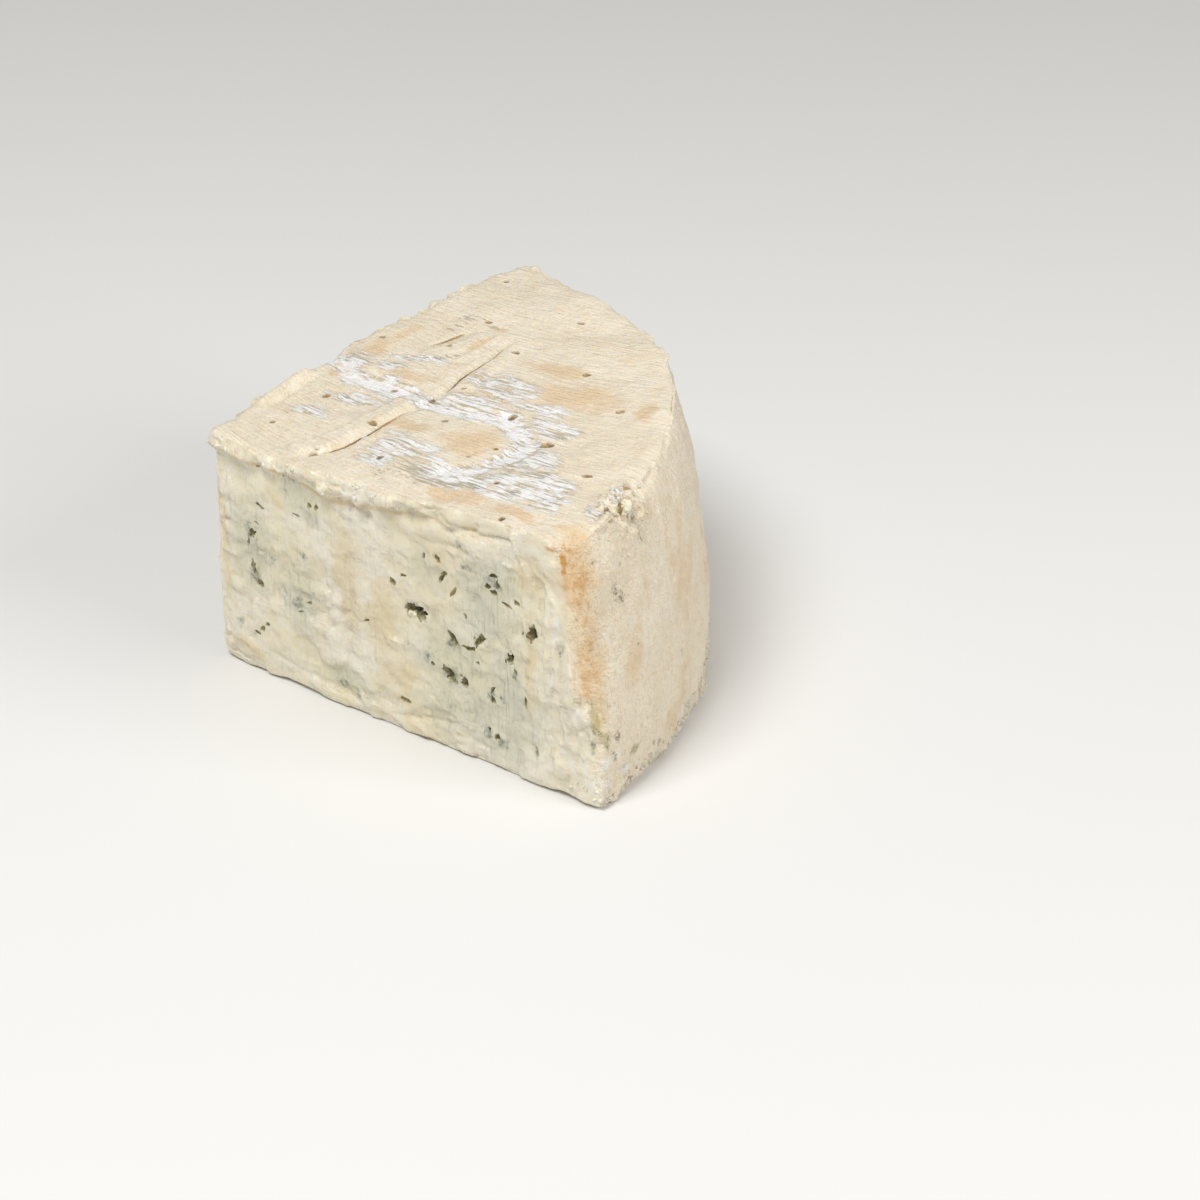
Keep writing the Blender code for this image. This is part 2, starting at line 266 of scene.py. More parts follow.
def coarse_relief(point, normal, reach):
    """How far the surface stands out of the smooth wedge."""
    on_front = max(0.0, -normal.dot(ALONG_BACK))
    on_back = max(0.0, -normal.dot(ALONG_FRONT))
    on_cut = max(on_front, on_back) ** 2
    out = on_cut * lumps(point, CUT_RELIEF) + (1 - on_cut) * lumps(point, RIND_RELIEF)
    out += on_front * lip(point, point.dot(ALONG_FRONT), reach)
    out += on_back * lip(point, point.dot(ALONG_BACK), reach)
    return out + (1 - on_cut) * (1 - smoothstep(0, CRUMBLY_BAND, point.z)) * lumps(point, CRUMBLE)


def add_coarse_relief(mesh, reach):
    mesh.normal_update()
    moves = [v.normal * coarse_relief(v.co, v.normal, reach) for v in mesh.verts]
    for vert, move in zip(mesh.verts, moves):
        if vert.co.z < FLAT_LIMIT:
            vert.co.z = 0
        else:
            vert.co += move
            vert.co.z = max(vert.co.z, FLAT_LIMIT)


def onto_solid(mesh):
    """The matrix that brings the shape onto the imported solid's box."""
    points = np.array([v.co for v in mesh.verts])
    low, high = points.min(axis=0), points.max(axis=0)
    solid_low, solid_high = (np.array(corner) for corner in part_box("cheese_wedge"))
    scale = Matrix.Diagonal(np.append((solid_high - solid_low) / (high - low), 1))
    return Matrix.Translation(solid_low) @ scale @ Matrix.Translation(-low)


# Fine form


def coordinates(mesh):
    points = np.empty(len(mesh.vertices) * 3)
    mesh.vertices.foreach_get("co", points)
    return points.reshape(-1, 3)


def normals(mesh):
    found = np.empty(len(mesh.vertices) * 3)
    mesh.vertex_normals.foreach_get("vector", found)
    return found.reshape(-1, 3)


def grain(points, size, seed=0):
    """A smooth random value between -1 and 1 at each point, in lumps of this size (one size, or three)."""
    table = np.random.default_rng(100 + seed).uniform(-1, 1, 8192)
    scaled = points / (np.array(size) * MM) + 1000 + seed * 7.31
    cell = np.floor(scaled).astype(np.int64)
    share = scaled - cell
    share = share * share * (3 - 2 * share)
    total = 0
    for corner in itertools.product((0, 1), repeat=3):
        value = table[((cell + corner) @ (73856093, 19349663, 83492791)) % 8192]
        total = total + value * np.prod(np.where(corner, share, 1 - share), axis=1)
    return total


def layered_grain(points, size, layers, seed=0):
    return sum(grain(points, np.array(size) / 2**k, seed + k) / 2**k for k in range(layers))


def distance_to_line(flat, line):
    """Distance of each two-dimensional point from a line of points, all in millimetres."""
    best = np.full(len(flat), np.inf)
    for start, end in zip(np.array(line[:-1], float), np.array(line[1:], float)):
        step = end - start
        share = np.clip((flat - start) @ step / (step @ step), 0, 1)
        best = np.minimum(best, np.linalg.norm(flat - start - share[:, None] * step, axis=1))
    return best


def from_oval(flat, x, y, wide, tall, degrees):
    """How far each point lies from the middle of a turned oval, in half sizes."""
    cos, sin = math.cos(math.radians(degrees)), math.sin(math.radians(degrees))
    across = (flat - (x, y)) @ np.array([(cos, -sin), (sin, cos)])
    return np.linalg.norm(across / (wide, tall), axis=1)


def in_spots(flat, spots):
    """How deep in any of the soft oval spots each point lies: (x, y, half width, half height, degrees)."""
    return np.clip(1.25 - np.min([from_oval(flat, *spot) for spot in spots], axis=0), 0, 1)


def ridges(flat, lines):
    """Soft ridges and grooves: (points of the line, how far it stands out, half width)."""
    return sum(stands * np.exp(-((distance_to_line(flat, line) / half) ** 2)) for line, stands, half in lines)


def swellings(flat, spots):
    """Soft swellings and dents: (spot, how far it stands out)."""
    return sum(stands * smoothstep(0, 1, in_spots(flat, [spot])) for spot, stands in spots)


def shift(points, size, seed):
    """A random step for each flat place, so that a drawn edge wanders."""
    return np.stack([grain(points, size, seed), grain(points, size, seed + 1)], axis=1)


# Lines on the front cut: points, how far each stands out, and its half width
FRONT_LINES = (
    (((121, 83), (122, 79), (127, 71), (130, 66), (134, 51), (135, 34)), 1.1, 1.0),
    (((129, 74), (133, 70), (138, 63)), 0.9, 0.9),
    (((134, 66), (135, 55), (135.5, 44)), 1.2, 1.3),
    (((137.5, 53), (138.5, 45), (139, 36), (141, 20)), 1.0, 1.2),
    (((131, 58), (132, 46), (132.5, 30)), 0.7, 1.0),
    (((126, 62), (128, 44), (129, 22)), 0.5, 1.0),
    (((141, 60), (142, 48), (144, 34), (146, 22)), 0.7, 1.2),
    (((85, 70), (94, 71), (99, 72), (104, 71)), -0.9, 1.1),
    (((94, 80), (97, 79.5), (102, 78.5), (108, 78.5), (117, 80), (121, 80)), -1.3, 0.9),
    (((74, 5), (88, 8.5), (98, 10)), -0.8, 0.9),
    (((55, 54), (56.5, 38), (56, 20)), -0.35, 1.2),
    (((81, 51), (91, 42), (101, 33)), -0.45, 0.8),
    (((2, 35), (2.5, 20), (5, 10)), -0.7, 0.9),
    (((69.5, 31.5), (74, 33.6), (79, 33)), -0.6, 0.6),
    (((70, 30), (75, 31.6), (79, 31)), 0.5, 0.7),
    (((24, 9), (38, 6.4), (52, 6), (60, 4)), -0.5, 0.8),
)
# Soft swellings and dents of the front cut: a spot, and how far it stands out in millimetres
FRONT_SWELLINGS = (
    ((107, 74, 13, 5, 4), 1.3), ((139, 10, 3.4, 3.4, 0), 1.4), ((66, 62, 14, 12, 0), 0.5),
    ((30, 40, 8, 12, 0), 0.5), ((135, 68, 7, 8, 0), -0.8), ((60, 14, 12, 7, 0), 0.5),
)
# Soft swellings and dents of the low front corner, in places on the rind
CORNER_SWELLINGS = (
    ((0.4, 30, 2.4, 6, 5), 1.4), ((3.6, 30, 1.4, 9, 5), -0.9), ((0, 12, 7, 7, 0), 1.0),
    ((6, 20, 1.2, 5, 10), -0.8), ((12, 15, 6, 3, 30), 0.8), ((2, 21.5, 3, 1.4, 0), -0.8),
    ((-3, 40, 1.2, 8, 4), 0.7),
)
# Middle of the flat band that the draining rack pressed into the top
PRESSED_BAND = (
    (42, 40), (44, 34), (46, 27), (50.5, 22.5), (57, 16.5), (63.4, 9.6), (68, 3), (75, -3), (80, -7),
    (85, -10), (90, -14), (93, -21), (95, -28), (95, -34), (90.6, -39), (84.6, -43.4), (78.5, -45),
    (70, -45),
)
# Strips of the top with flat tops or bottoms, then its soft lines, then its soft swellings
TOP_STRIPS = (
    (((27, -16), (34, -15), (40, -12), (46, -8), (52, -3), (58, 3), (63, 7)), 1.1, 3.6),
    (PRESSED_BAND, -0.95, 3.6),
    (((76, 7), (80, 13), (84, 19), (88, 25), (93, 31), (98, 38)), 0.8, 3),
    (((71, 38), (77, 40), (82, 43), (88, 48)), 0.7, 3),
)
TOP_BANDS = (
    (((29, -20), (36, -20.6), (40, -19.4), (44, -17), (49, -13.8), (53, -8.8), (58, -4), (64, 0)), -1.1, 1.1),
    (((73, 10), (76, 14), (79, 19), (83, 24), (87, 28), (90, 32), (93, 37), (97, 42)), -0.9, 1.1),
    (((64, 0), (68, 3), (71, 7), (73, 10)), -0.6, 1.4),
    (((79, 32), (84, 36), (90, 43), (93, 46)), 0.6, 1.0),
    (((72, 45.5), (76, 47.6), (80, 50), (84, 52)), -0.8, 1.0),
    (((17, 15), (24, 23.5), (31, 32)), 1.6, 1.6),
    (((20, 13.5), (26, 20.5), (33, 28.5)), -1.1, 1.1),
    (((113, -77), (119, -66), (122, -63)), 0.8, 1.6),
    (((121, -72), (122.5, -69), (124.5, -70)), -1.3, 1.2),
)
TOP_SWELLINGS = (
    ((78, -27, 12, 9, -55), 0.5), ((56, -36, 16, 5, -40), 0.4),
    ((62, 22, 10, 8, -40), 0.5), ((68, -61, 13, 4, -48), -0.6), ((94, -29, 2.6, 2.6, 0), -0.6),
    ((86.5, -50.5, 4.5, 2.5, -50), -0.7), ((88, 8, 9, 7, 30), 0.4), ((41, 13, 3, 2, 0), -0.4),
)

# Torn place on the front corner of the top, in spots
SCAR = ((118, -74, 13, 7, 58), (122, -65, 6, 5, 0))


def flat_views(points):
    """Each point's place on the flattened front cut, back cut, top and rind, in millimetres."""
    high = points[:, 2] / MM
    along_front = points @ np.array(ALONG_FRONT) / MM
    along_back = points @ np.array(ALONG_BACK) / MM
    arc = (np.arctan2(points[:, 1], points[:, 0]) + math.pi / 4) * BELLY_RADIUS / MM
    corner = np.interp(high / HEIGHT * MM, RIND_SHARES, [row[0] for row in RIND_RADII])
    arc += np.minimum(0, np.linalg.norm(points[:, :2], axis=1) / MM - corner + 2) * smoothstep(12, 4, arc)
    front, back, rind = (np.stack([across, high], axis=1) for across in (along_front, along_back, arc))
    return front, back, points[:, :2] / MM, rind


def face_shares(points, facing):
    """Shares of top, rind, front cut and back cut at each point of the smooth wedge."""
    radius = np.linalg.norm(points[:, :2], axis=1)
    outward = points[:, :2] / np.maximum(radius, MM)[:, None]
    front = smoothstep(0.45, 0.75, -facing @ np.array(ALONG_BACK))
    back = smoothstep(0.45, 0.75, -facing @ np.array(ALONG_FRONT))
    top = smoothstep(0.5, 0.8, facing[:, 2])
    around = (facing[:, :2] * outward).sum(axis=1)
    rind = smoothstep(0.35, 0.7, around) * smoothstep(90 * MM, 120 * MM, radius)
    shares = np.stack([top, rind, front, back]) + 1e-4
    return shares / np.maximum(1, shares.sum(axis=0))


class Surface:
    """Points of the wedge, with the share of each face that they are on and their place on it laid flat."""

    def __init__(self, points, facing):
        self.points = points
        self.top, self.rind, self.front, self.back = face_shares(points, facing)
        self.cut = np.maximum(self.front, self.back)
        self.flat_front, self.flat_back, self.flat_top, self.flat_rind = flat_views(points)
        self.along, self.high = self.flat_front.T
        self.on_rind = np.maximum(self.rind, smoothstep(126, 138, self.along) * (1 - self.top))
        # Below the top edge of the front cut, with the lip's lower edge at 1
        self.drop = (HEIGHT / MM - EDGE_SAG - self.high) / np.interp(self.along, *zip(*LIP_EDGE))

    def scar(self, foot):
        """How torn the front corner of the top is, above this height."""
        torn = smoothstep(0, 1, in_spots(self.flat_top, SCAR))
        return torn * smoothstep(foot, foot + 6, self.high)

    def pocketed(self):
        """Each cut's share, flat places and pockets."""
        return (self.front, self.flat_front, FRONT_POCKETS), (self.back, self.flat_back, BACK_POCKETS)


def torn_rims(flat, pockets):
    """1 on a ring around each pocket, where the paste has been pulled up."""
    best = np.zeros(len(flat))
    for x, y, wide, tall, _, degrees in pockets:
        away = from_oval(flat, x, y, wide / 2, tall / 2, degrees)
        best = np.maximum(best, min(1, wide * tall / 12) * np.exp(-(((away - 1.4) / 0.35) ** 2)))
    return best


def cut_relief(here):
    """Streaks, ledges, flakes and dents of the cuts, the rims of their pockets, and the front's own marks."""
    points = here.points
    along = np.where(here.front > here.back, here.along, here.flat_back[:, 0])
    busy = 0.35 + 0.65 * smoothstep(70, 105, along)
    streaks = 0.5 * grain(points, (3.2, 3.2, 34), 3) + 0.3 * grain(points, (1.9, 1.9, 16), 4)
    ledges = smoothstep(-0.06, 0.16, layered_grain(points, (13, 13, 7), 2, 25)) - 0.5
    flakes = smoothstep(0.0, 0.12, layered_grain(points, (7, 7, 3.6), 2, 51)) - 0.5
    dents = smoothstep(0.5, 0.85, layered_grain(points, 6, 2, 21))
    out = 0.45 * busy * streaks + 0.6 * (1.3 - 0.7 * busy) * layered_grain(points, (11, 11, 8), 2, 5)
    out += (1.3 - 0.6 * busy) * ledges * smoothstep(-0.3, 0.4, grain(points, 20, 27))
    out += 0.8 * flakes * smoothstep(-0.3, 0.4, grain(points, 13, 53)) - 0.7 * dents
    out *= here.cut
    for side, flat, pockets in here.pocketed():
        out += side * torn_rims(flat, pockets) * (0.35 + 0.5 * grain(points, 2.6, 22))
    marks = ridges(here.flat_front, FRONT_LINES) + swellings(here.flat_front, FRONT_SWELLINGS)
    return out + here.front * marks


def lip_relief(here):
    """Lumps of the lip of rind over the front cut."""
    on_lip = here.cut * (1 - smoothstep(0.9, 1.5, here.drop)) * (1 - smoothstep(90, 112, here.along))
    clods = smoothstep(0.3, 0.6, grain(here.points, 4, 10))
    return on_lip * (1.6 * layered_grain(here.points, 6, 3, 8) + 0.9 * clods)


def top_relief(here):
    """Strips and bands that the draining rack pressed, and the soft lumps between them."""
    wavy = here.flat_top + 0.8 * shift(here.points, 5, 41)
    out = ridges(here.flat_top, TOP_BANDS) + swellings(here.flat_top, TOP_SWELLINGS)
    out += 0.3 * layered_grain(here.points, 8, 3, 11)
    for line, stands, half in TOP_STRIPS:
        out += stands * (1 - smoothstep(0.65, 1.25, distance_to_line(wavy, line) / half))
    return here.top * out


def rind_relief(here):
    """Wrinkles of the rind, its ragged foot, the craggy edge of the top and the swollen front corner."""
    points = here.points
    wrinkles = 0.4 * layered_grain(points, (5, 5, 8), 3, 13) + 0.2 * grain(points, (2.2, 2.2, 14), 14)
    foot = 1.1 * (1 - smoothstep(2, 11, here.high)) * layered_grain(points, 4.5, 2, 17)
    top_edge = smoothstep(0.15, 0.5, here.top) * (1 - smoothstep(0.5, 0.9, here.top))
    crags = layered_grain(points, 7, 3, 15) + 1.3 * smoothstep(0.35, 0.6, grain(points, 5, 16))
    corner = np.maximum(here.rind, here.front * smoothstep(130, 140, here.along))
    out = here.rind * (wrinkles + foot) + top_edge * (1 - 0.5 * here.front) * crags
    return out + corner * swellings(here.flat_rind, CORNER_SWELLINGS)


def fine_relief(here):
    """How far the fine surface stands out, in millimetres."""
    out = cut_relief(here) + lip_relief(here) + top_relief(here) + rind_relief(here)
    return out + here.scar(72) * (0.3 + 2.9 * layered_grain(here.points, 4.2, 3, 19))


def mesh_object(name, mesh):
    obj = bpy.data.objects.new(name, mesh)
    bpy.context.scene.collection.objects.link(obj)
    return obj


def evaluated_mesh(obj):
    """A plain mesh of the object with its modifiers in it."""
    graph = bpy.context.evaluated_depsgraph_get()
    return bpy.data.meshes.new_from_object(obj.evaluated_get(graph), depsgraph=graph)


def settle(obj):
    """Takes the modifiers' result as the object's own mesh."""
    mesh = evaluated_mesh(obj)
    obj.modifiers.clear()
    obj.data = mesh


def close_base(obj):
    """Makes the flat of the base one face."""
    mesh = bmesh.new()
    mesh.from_mesh(obj.data)
    flat = [f for f in mesh.faces if all(v.co.z < 1e-6 for v in f.verts)]
    bmesh.ops.dissolve_faces(mesh, faces=flat, use_verts=False)
    mesh.to_mesh(obj.data)
    mesh.free()


def move_points(mesh, points):
    mesh.vertices.foreach_set("co", points.ravel())
    mesh.update()


def wedge_blank(sizes):
    """The wedge before anything is cut out of it, and the matrix from the wheel's axis onto the solid."""
    box = gridded_box(sizes.cells_across, sizes.cells_up)
    for vert in box.verts:
        vert.co = wedge_point(vert.co)
    soften_edges(box)
    add_coarse_relief(box, sizes.lip_reach)
    place = onto_solid(box)
    mesh = bpy.data.meshes.new("cheese")
    box.to_mesh(mesh)
    box.free()
    wedge = mesh_object("cheese", mesh)
    finer = wedge.modifiers.new("finer", "SUBSURF")
    finer.levels = finer.render_levels = 2
    settle(wedge)
    points, facing = coordinates(wedge.data), normals(wedge.data)
    out = fine_relief(Surface(points, facing)) * sizes.relief * MM
    above = points[:, 2] > 2 * FLAT_LIMIT
    moved = points + facing * (out * above)[:, None]
    moved[:, 2] = np.where(above, np.maximum(moved[:, 2], FLAT_LIMIT), 0)
    move_points(wedge.data, moved)
    close_base(wedge)
    wedge.data.transform(place)
    return wedge, place


# Node trees

# Noise scales of the cutters' and crumbs' roughness
POCKET_LUMPS = 620.0
NEEDLE_LUMPS = 420.0
GROOVE_LUMPS = 300.0
CRUMB_LUMPS = 900.0
NEEDLE_ROUGHNESS = 0.7 * MM
GROOVE_ROUGHNESS = 0.4 * MM
CRUMB_ROUGHNESS = 0.7 * MM
CRUMB_SEED = 3
# Distance between the rings of a groove's bar
GROOVE_STEP = 1.2 * MM


class Wire:
    """A socket that can be written in sums: each operator adds its Math node."""

    def __init__(self, sheet, socket):
        self.sheet = sheet
        self.socket = socket

    def maths(self, operation, first, second):
        values = {0: first, 1: second}
        return self.sheet.node("ShaderNodeMath", {"operation": operation}, values)

    def __add__(self, other):
        return self.maths("ADD", self, other)

    def __radd__(self, other):
        return self.maths("ADD", other, self)

    def __sub__(self, other):
        return self.maths("SUBTRACT", self, other)

    def __rsub__(self, other):
        return self.maths("SUBTRACT", other, self)

    def __mul__(self, other):
        return self.maths("MULTIPLY", self, other)

    def __rmul__(self, other):
        return self.maths("MULTIPLY", other, self)

    def atleast(self, other):
        return self.maths("MAXIMUM", self, other)

    def atmost(self, other):
        return self.maths("MINIMUM", self, other)

    def each(self):
        """A wire for each output of this wire's node."""
        return [Wire(self.sheet, socket) for socket in self.socket.node.outputs]

    def ramp(self, low, high):
        """0 below low, 1 above high, and smooth between them."""
        values = {"Value": self, "From Min": low, "From Max": high}
        return self.sheet.node("ShaderNodeMapRange", {"interpolation_type": "SMOOTHSTEP"}, values)


class Sheet:
    """A node tree that is filled in by plain calls."""

    def __init__(self, tree):
        self.tree = tree

    def node(self, kind, settings=None, values=None, output=0):
        """Adds a node: its settings first, then the values or links of its sockets."""
        made = self.tree.nodes.new(kind)
        for name, value in (settings or {}).items():
            setattr(made, name, value)
        for key, value in (values or {}).items():
            socket = made.inputs[key]
            if isinstance(value, Wire):
                self.tree.links.new(value.socket, socket)
            else:
                socket.default_value = value
        return Wire(self, made.outputs[output])

    def mix(self, share, first, second):
        values = {0: share, 6: first, 7: second}
        return self.node("ShaderNodeMix", {"data_type": "RGBA"}, values, output=2)

    def noise(self, place, size, detail=2.0, roughness=0.5, distortion=0.0):
        """Noise between about 0 and 1 whose lumps measure this many millimetres."""
        values = {
            "Vector": place, "Scale": 0.6 / (size * MM), "Detail": detail, "Roughness": roughness,
            "Distortion": distortion,
        }
        return self.node("ShaderNodeTexNoise", {}, values)

    def stretched(self, place, scale):
        """The place scaled, so that a pattern runs one way."""
        return self.node("ShaderNodeVectorMath", {"operation": "MULTIPLY"}, {0: place, 1: scale})

    def layered(self, base, layers):
        """The base colour under each (share, colour) in turn."""
        for share, colour in layers:
            base = self.mix(share, base, colour)
        return base

    def attribute(self, name, output="Fac"):
        return self.node("ShaderNodeAttribute", {"attribute_name": name}, output=output)


def tree_with_inputs(name, inputs):
    """A Geometry Nodes tree with a mesh in and out, and the named numbers in."""
    tree = bpy.data.node_groups.new(name, "GeometryNodeTree")
    tree.interface.new_socket("Geometry", in_out="INPUT", socket_type="NodeSocketGeometry")
    tree.interface.new_socket("Geometry", in_out="OUTPUT", socket_type="NodeSocketGeometry")
    for label, kind in inputs:
        tree.interface.new_socket(label, in_out="INPUT", socket_type=kind)
    return tree, Sheet(tree)


def tree_input(sheet, label):
    return sheet.node("NodeGroupInput", output=label)


def finish_tree(sheet, geometry, material):
    """Ends the tree with real geometry in the cheese's material."""
    real = sheet.node("GeometryNodeRealizeInstances", {}, {"Geometry": geometry})
    done = sheet.node("GeometryNodeSetMaterial", {}, {"Geometry": real, "Material": material})
    end = sheet.tree.nodes.new("NodeGroupOutput")
    sheet.tree.links.new(done.socket, end.inputs[0])


def use_tree(obj, tree, values):
    """Adds the tree to the object as a modifier, with its inputs set."""
    modifier = obj.modifiers.new(tree.name, "NODES")
    modifier.node_group = tree
    for item in tree.interface.items_tree:
        if item.in_out == "INPUT" and item.name in values:
            modifier[item.identifier] = values[item.name]


def named(sheet, name, kind="FLOAT"):
    return sheet.node("GeometryNodeInputNamedAttribute", {"data_type": kind}, {"Name": name})


def roughened(sheet, geometry, scale, amount):
    """Pushes every point about by noise, so that no two copies are alike."""
    place = sheet.node("GeometryNodeInputPosition")
    values = {"Vector": place, "Scale": scale, "Detail": 2.0}
    cloud = sheet.node("ShaderNodeTexNoise", {}, values, output="Color")
    centred = sheet.node("ShaderNodeVectorMath", {"operation": "SUBTRACT"}, {0: cloud, 1: (0.5, 0.5, 0.5)})
    offset = sheet.node("ShaderNodeVectorMath", {"operation": "SCALE"}, {0: centred, "Scale": amount})
    return sheet.node("GeometryNodeSetPosition", {}, {"Geometry": geometry, "Offset": offset})


def pocket_tree(material):
    """A rough ball on every point, sized and turned by the point's own attributes."""
    inputs = (
        ("Roughness", "NodeSocketFloat"), ("Lump size", "NodeSocketFloat"), ("Subdivisions", "NodeSocketInt"),
    )
    tree, sheet = tree_with_inputs("Mould pockets", inputs)
    fine = tree_input(sheet, "Subdivisions")
    ball = sheet.node("GeometryNodeMeshIcoSphere", {}, {"Radius": 1.0, "Subdivisions": fine})
    turn = sheet.node("FunctionNodeEulerToRotation", {}, {0: named(sheet, "turn", "FLOAT_VECTOR")})
    values = {
        "Points": tree_input(sheet, "Geometry"), "Instance": ball, "Rotation": turn,
        "Scale": named(sheet, "size", "FLOAT_VECTOR"),
    }
    balls = sheet.node("GeometryNodeInstanceOnPoints", {}, values)
    real = sheet.node("GeometryNodeRealizeInstances", {}, {"Geometry": balls})
    thirds = {0: named(sheet, "size", "FLOAT_VECTOR"), 1: (1 / 3, 1 / 3, 1 / 3)}
    radius = sheet.node("ShaderNodeVectorMath", {"operation": "DOT_PRODUCT"}, thirds, output=1)
    rough = roughened(sheet, real, tree_input(sheet, "Lump size"), radius * tree_input(sheet, "Roughness"))
    finish_tree(sheet, rough, material)
    return tree


def needle_tree(material):
    """A tapered bore on every point."""
    inputs = (("Radius", "NodeSocketFloat"), ("Depth", "NodeSocketFloat"), ("Roughness", "NodeSocketFloat"))
    tree, sheet = tree_with_inputs("Needle holes", inputs)
    radius = tree_input(sheet, "Radius")
    values = {
        "Vertices": 14, "Side Segments": 6, "Radius Top": radius * 1.35, "Radius Bottom": radius * 0.45,
        "Depth": tree_input(sheet, "Depth"),
    }
    bore = sheet.node("GeometryNodeMeshCone", {}, values)
    values = {
        "Points": tree_input(sheet, "Geometry"), "Instance": bore,
        "Scale": named(sheet, "size", "FLOAT_VECTOR"),
    }
    bores = sheet.node("GeometryNodeInstanceOnPoints", {}, values)
    real = sheet.node("GeometryNodeRealizeInstances", {}, {"Geometry": bores})
    finish_tree(sheet, roughened(sheet, real, NEEDLE_LUMPS, tree_input(sheet, "Roughness")), material)
    return tree


def groove_tree(material):
    """A round bar along each line, as thick as the line's own attribute says."""
    inputs = (("Radius", "NodeSocketFloat"), ("Roughness", "NodeSocketFloat"))
    tree, sheet = tree_with_inputs("Rack grooves", inputs)
    line = sheet.node("GeometryNodeMeshToCurve", {}, {"Mesh": tree_input(sheet, "Geometry")})
    fine = sheet.node("GeometryNodeResampleCurve", {"mode": "LENGTH"}, {"Curve": line, "Length": GROOVE_STEP})
    profile = sheet.node("GeometryNodeCurvePrimitiveCircle", {}, {"Resolution": 8, "Radius": 1.0})
    thick = tree_input(sheet, "Radius") * named(sheet, "width")
    values = {"Curve": fine, "Profile Curve": profile, "Scale": thick, "Fill Caps": True}
    bar = sheet.node("GeometryNodeCurveToMesh", {}, values)
    finish_tree(sheet, roughened(sheet, bar, GROOVE_LUMPS, tree_input(sheet, "Roughness")), material)
    return tree


def crumb_tree(material):
    """Small rough crumbs, thickest where the surface is crumbly."""
    inputs = (
        ("Density", "NodeSocketFloat"), ("Smallest", "NodeSocketFloat"), ("Largest", "NodeSocketFloat"),
        ("Seed", "NodeSocketInt"),
    )
    tree, sheet = tree_with_inputs("Crumbs", inputs)
    density = tree_input(sheet, "Density") * named(sheet, "crumbly")
    values = {"Mesh": tree_input(sheet, "Geometry"), "Density": density, "Seed": tree_input(sheet, "Seed")}
    points = sheet.node("GeometryNodeDistributePointsOnFaces", {}, values)
    values = {"Size": (2, 2, 2), "Vertices X": 3, "Vertices Y": 3, "Vertices Z": 3}
    cube = sheet.node("GeometryNodeMeshCube", {}, values)
    place = sheet.node("GeometryNodeInputPosition")
    rounded = sheet.node("ShaderNodeVectorMath", {"operation": "NORMALIZE"}, {0: place})
    ball = sheet.node("GeometryNodeSetPosition", {}, {"Geometry": cube, "Position": rounded})
    values = {2: tree_input(sheet, "Smallest"), 3: tree_input(sheet, "Largest"), "Seed": 5}
    size = sheet.node("FunctionNodeRandomValue", {}, values, output=1)
    shape = {0: (0.7, 0.7, 0.6), 1: (1.3, 1.3, 1.2), "Seed": 6}
    uneven = sheet.node("FunctionNodeRandomValue", {"data_type": "FLOAT_VECTOR"}, shape)
    scale = sheet.node("ShaderNodeVectorMath", {"operation": "SCALE"}, {0: uneven, "Scale": size})
    spin = {0: (-3.1, -3.1, -3.1), 1: (3.1, 3.1, 3.1), "Seed": 7}
    spun = sheet.node("FunctionNodeRandomValue", {"data_type": "FLOAT_VECTOR"}, spin)
    turn = sheet.node("FunctionNodeEulerToRotation", {}, {0: spun})
    values = {"Points": points, "Instance": ball, "Rotation": turn, "Scale": scale}
    crumbs = sheet.node("GeometryNodeInstanceOnPoints", {}, values)
    real = sheet.node("GeometryNodeRealizeInstances", {}, {"Geometry": crumbs})
    finish_tree(sheet, roughened(sheet, real, CRUMB_LUMPS, CRUMB_ROUGHNESS), material)
    return tree


# Cutters


def point_cloud(name, places, attributes):
    """Loose points with an attribute of vectors for each name."""
    mesh = bpy.data.meshes.new(name)
    mesh.from_pydata(places, [], [])
    for label, values in attributes.items():
        layer = mesh.attributes.new(label, "FLOAT_VECTOR", "POINT")
        layer.data.foreach_set("vector", np.array(values, dtype=np.float32).ravel())
    return mesh_object(name, mesh)


def surface_point(skin, place, point, outward):
    """The point moved along outward onto the real surface."""
    start = place @ (point + outward * RAY_START)
    return skin.ray_cast(start, -outward)[0]


def with_satellites(pockets):
    """Each pocket, and smaller hollows at random places in and around each large one."""
    random = np.random.default_rng(7)
    for distance, height, wide, tall, deep, tilt in pockets:
        yield distance, height, wide, tall, deep, tilt
        for _ in range(SATELLITES * (wide * tall > LARGE_POCKET)):
            share, aside, above = random.uniform((0.25, -0.5, -0.5), (0.55, 0.5, 0.5))
            spot = distance + aside * wide, height + above * tall
            yield *spot, wide * share, tall * share, deep * share, tilt


def apart(balls):
    """The balls in groups where none comes near another, since a cutter may not cross itself."""
    groups = []
    for ball in balls:
        place, size, _ = ball
        for group in groups:
            if all((place - other[0]).length > BALL_GAP * (max(size) + max(other[1])) for other in group):
                break
        else:
            group = []
            groups.append(group)
        group.append(ball)
    return groups


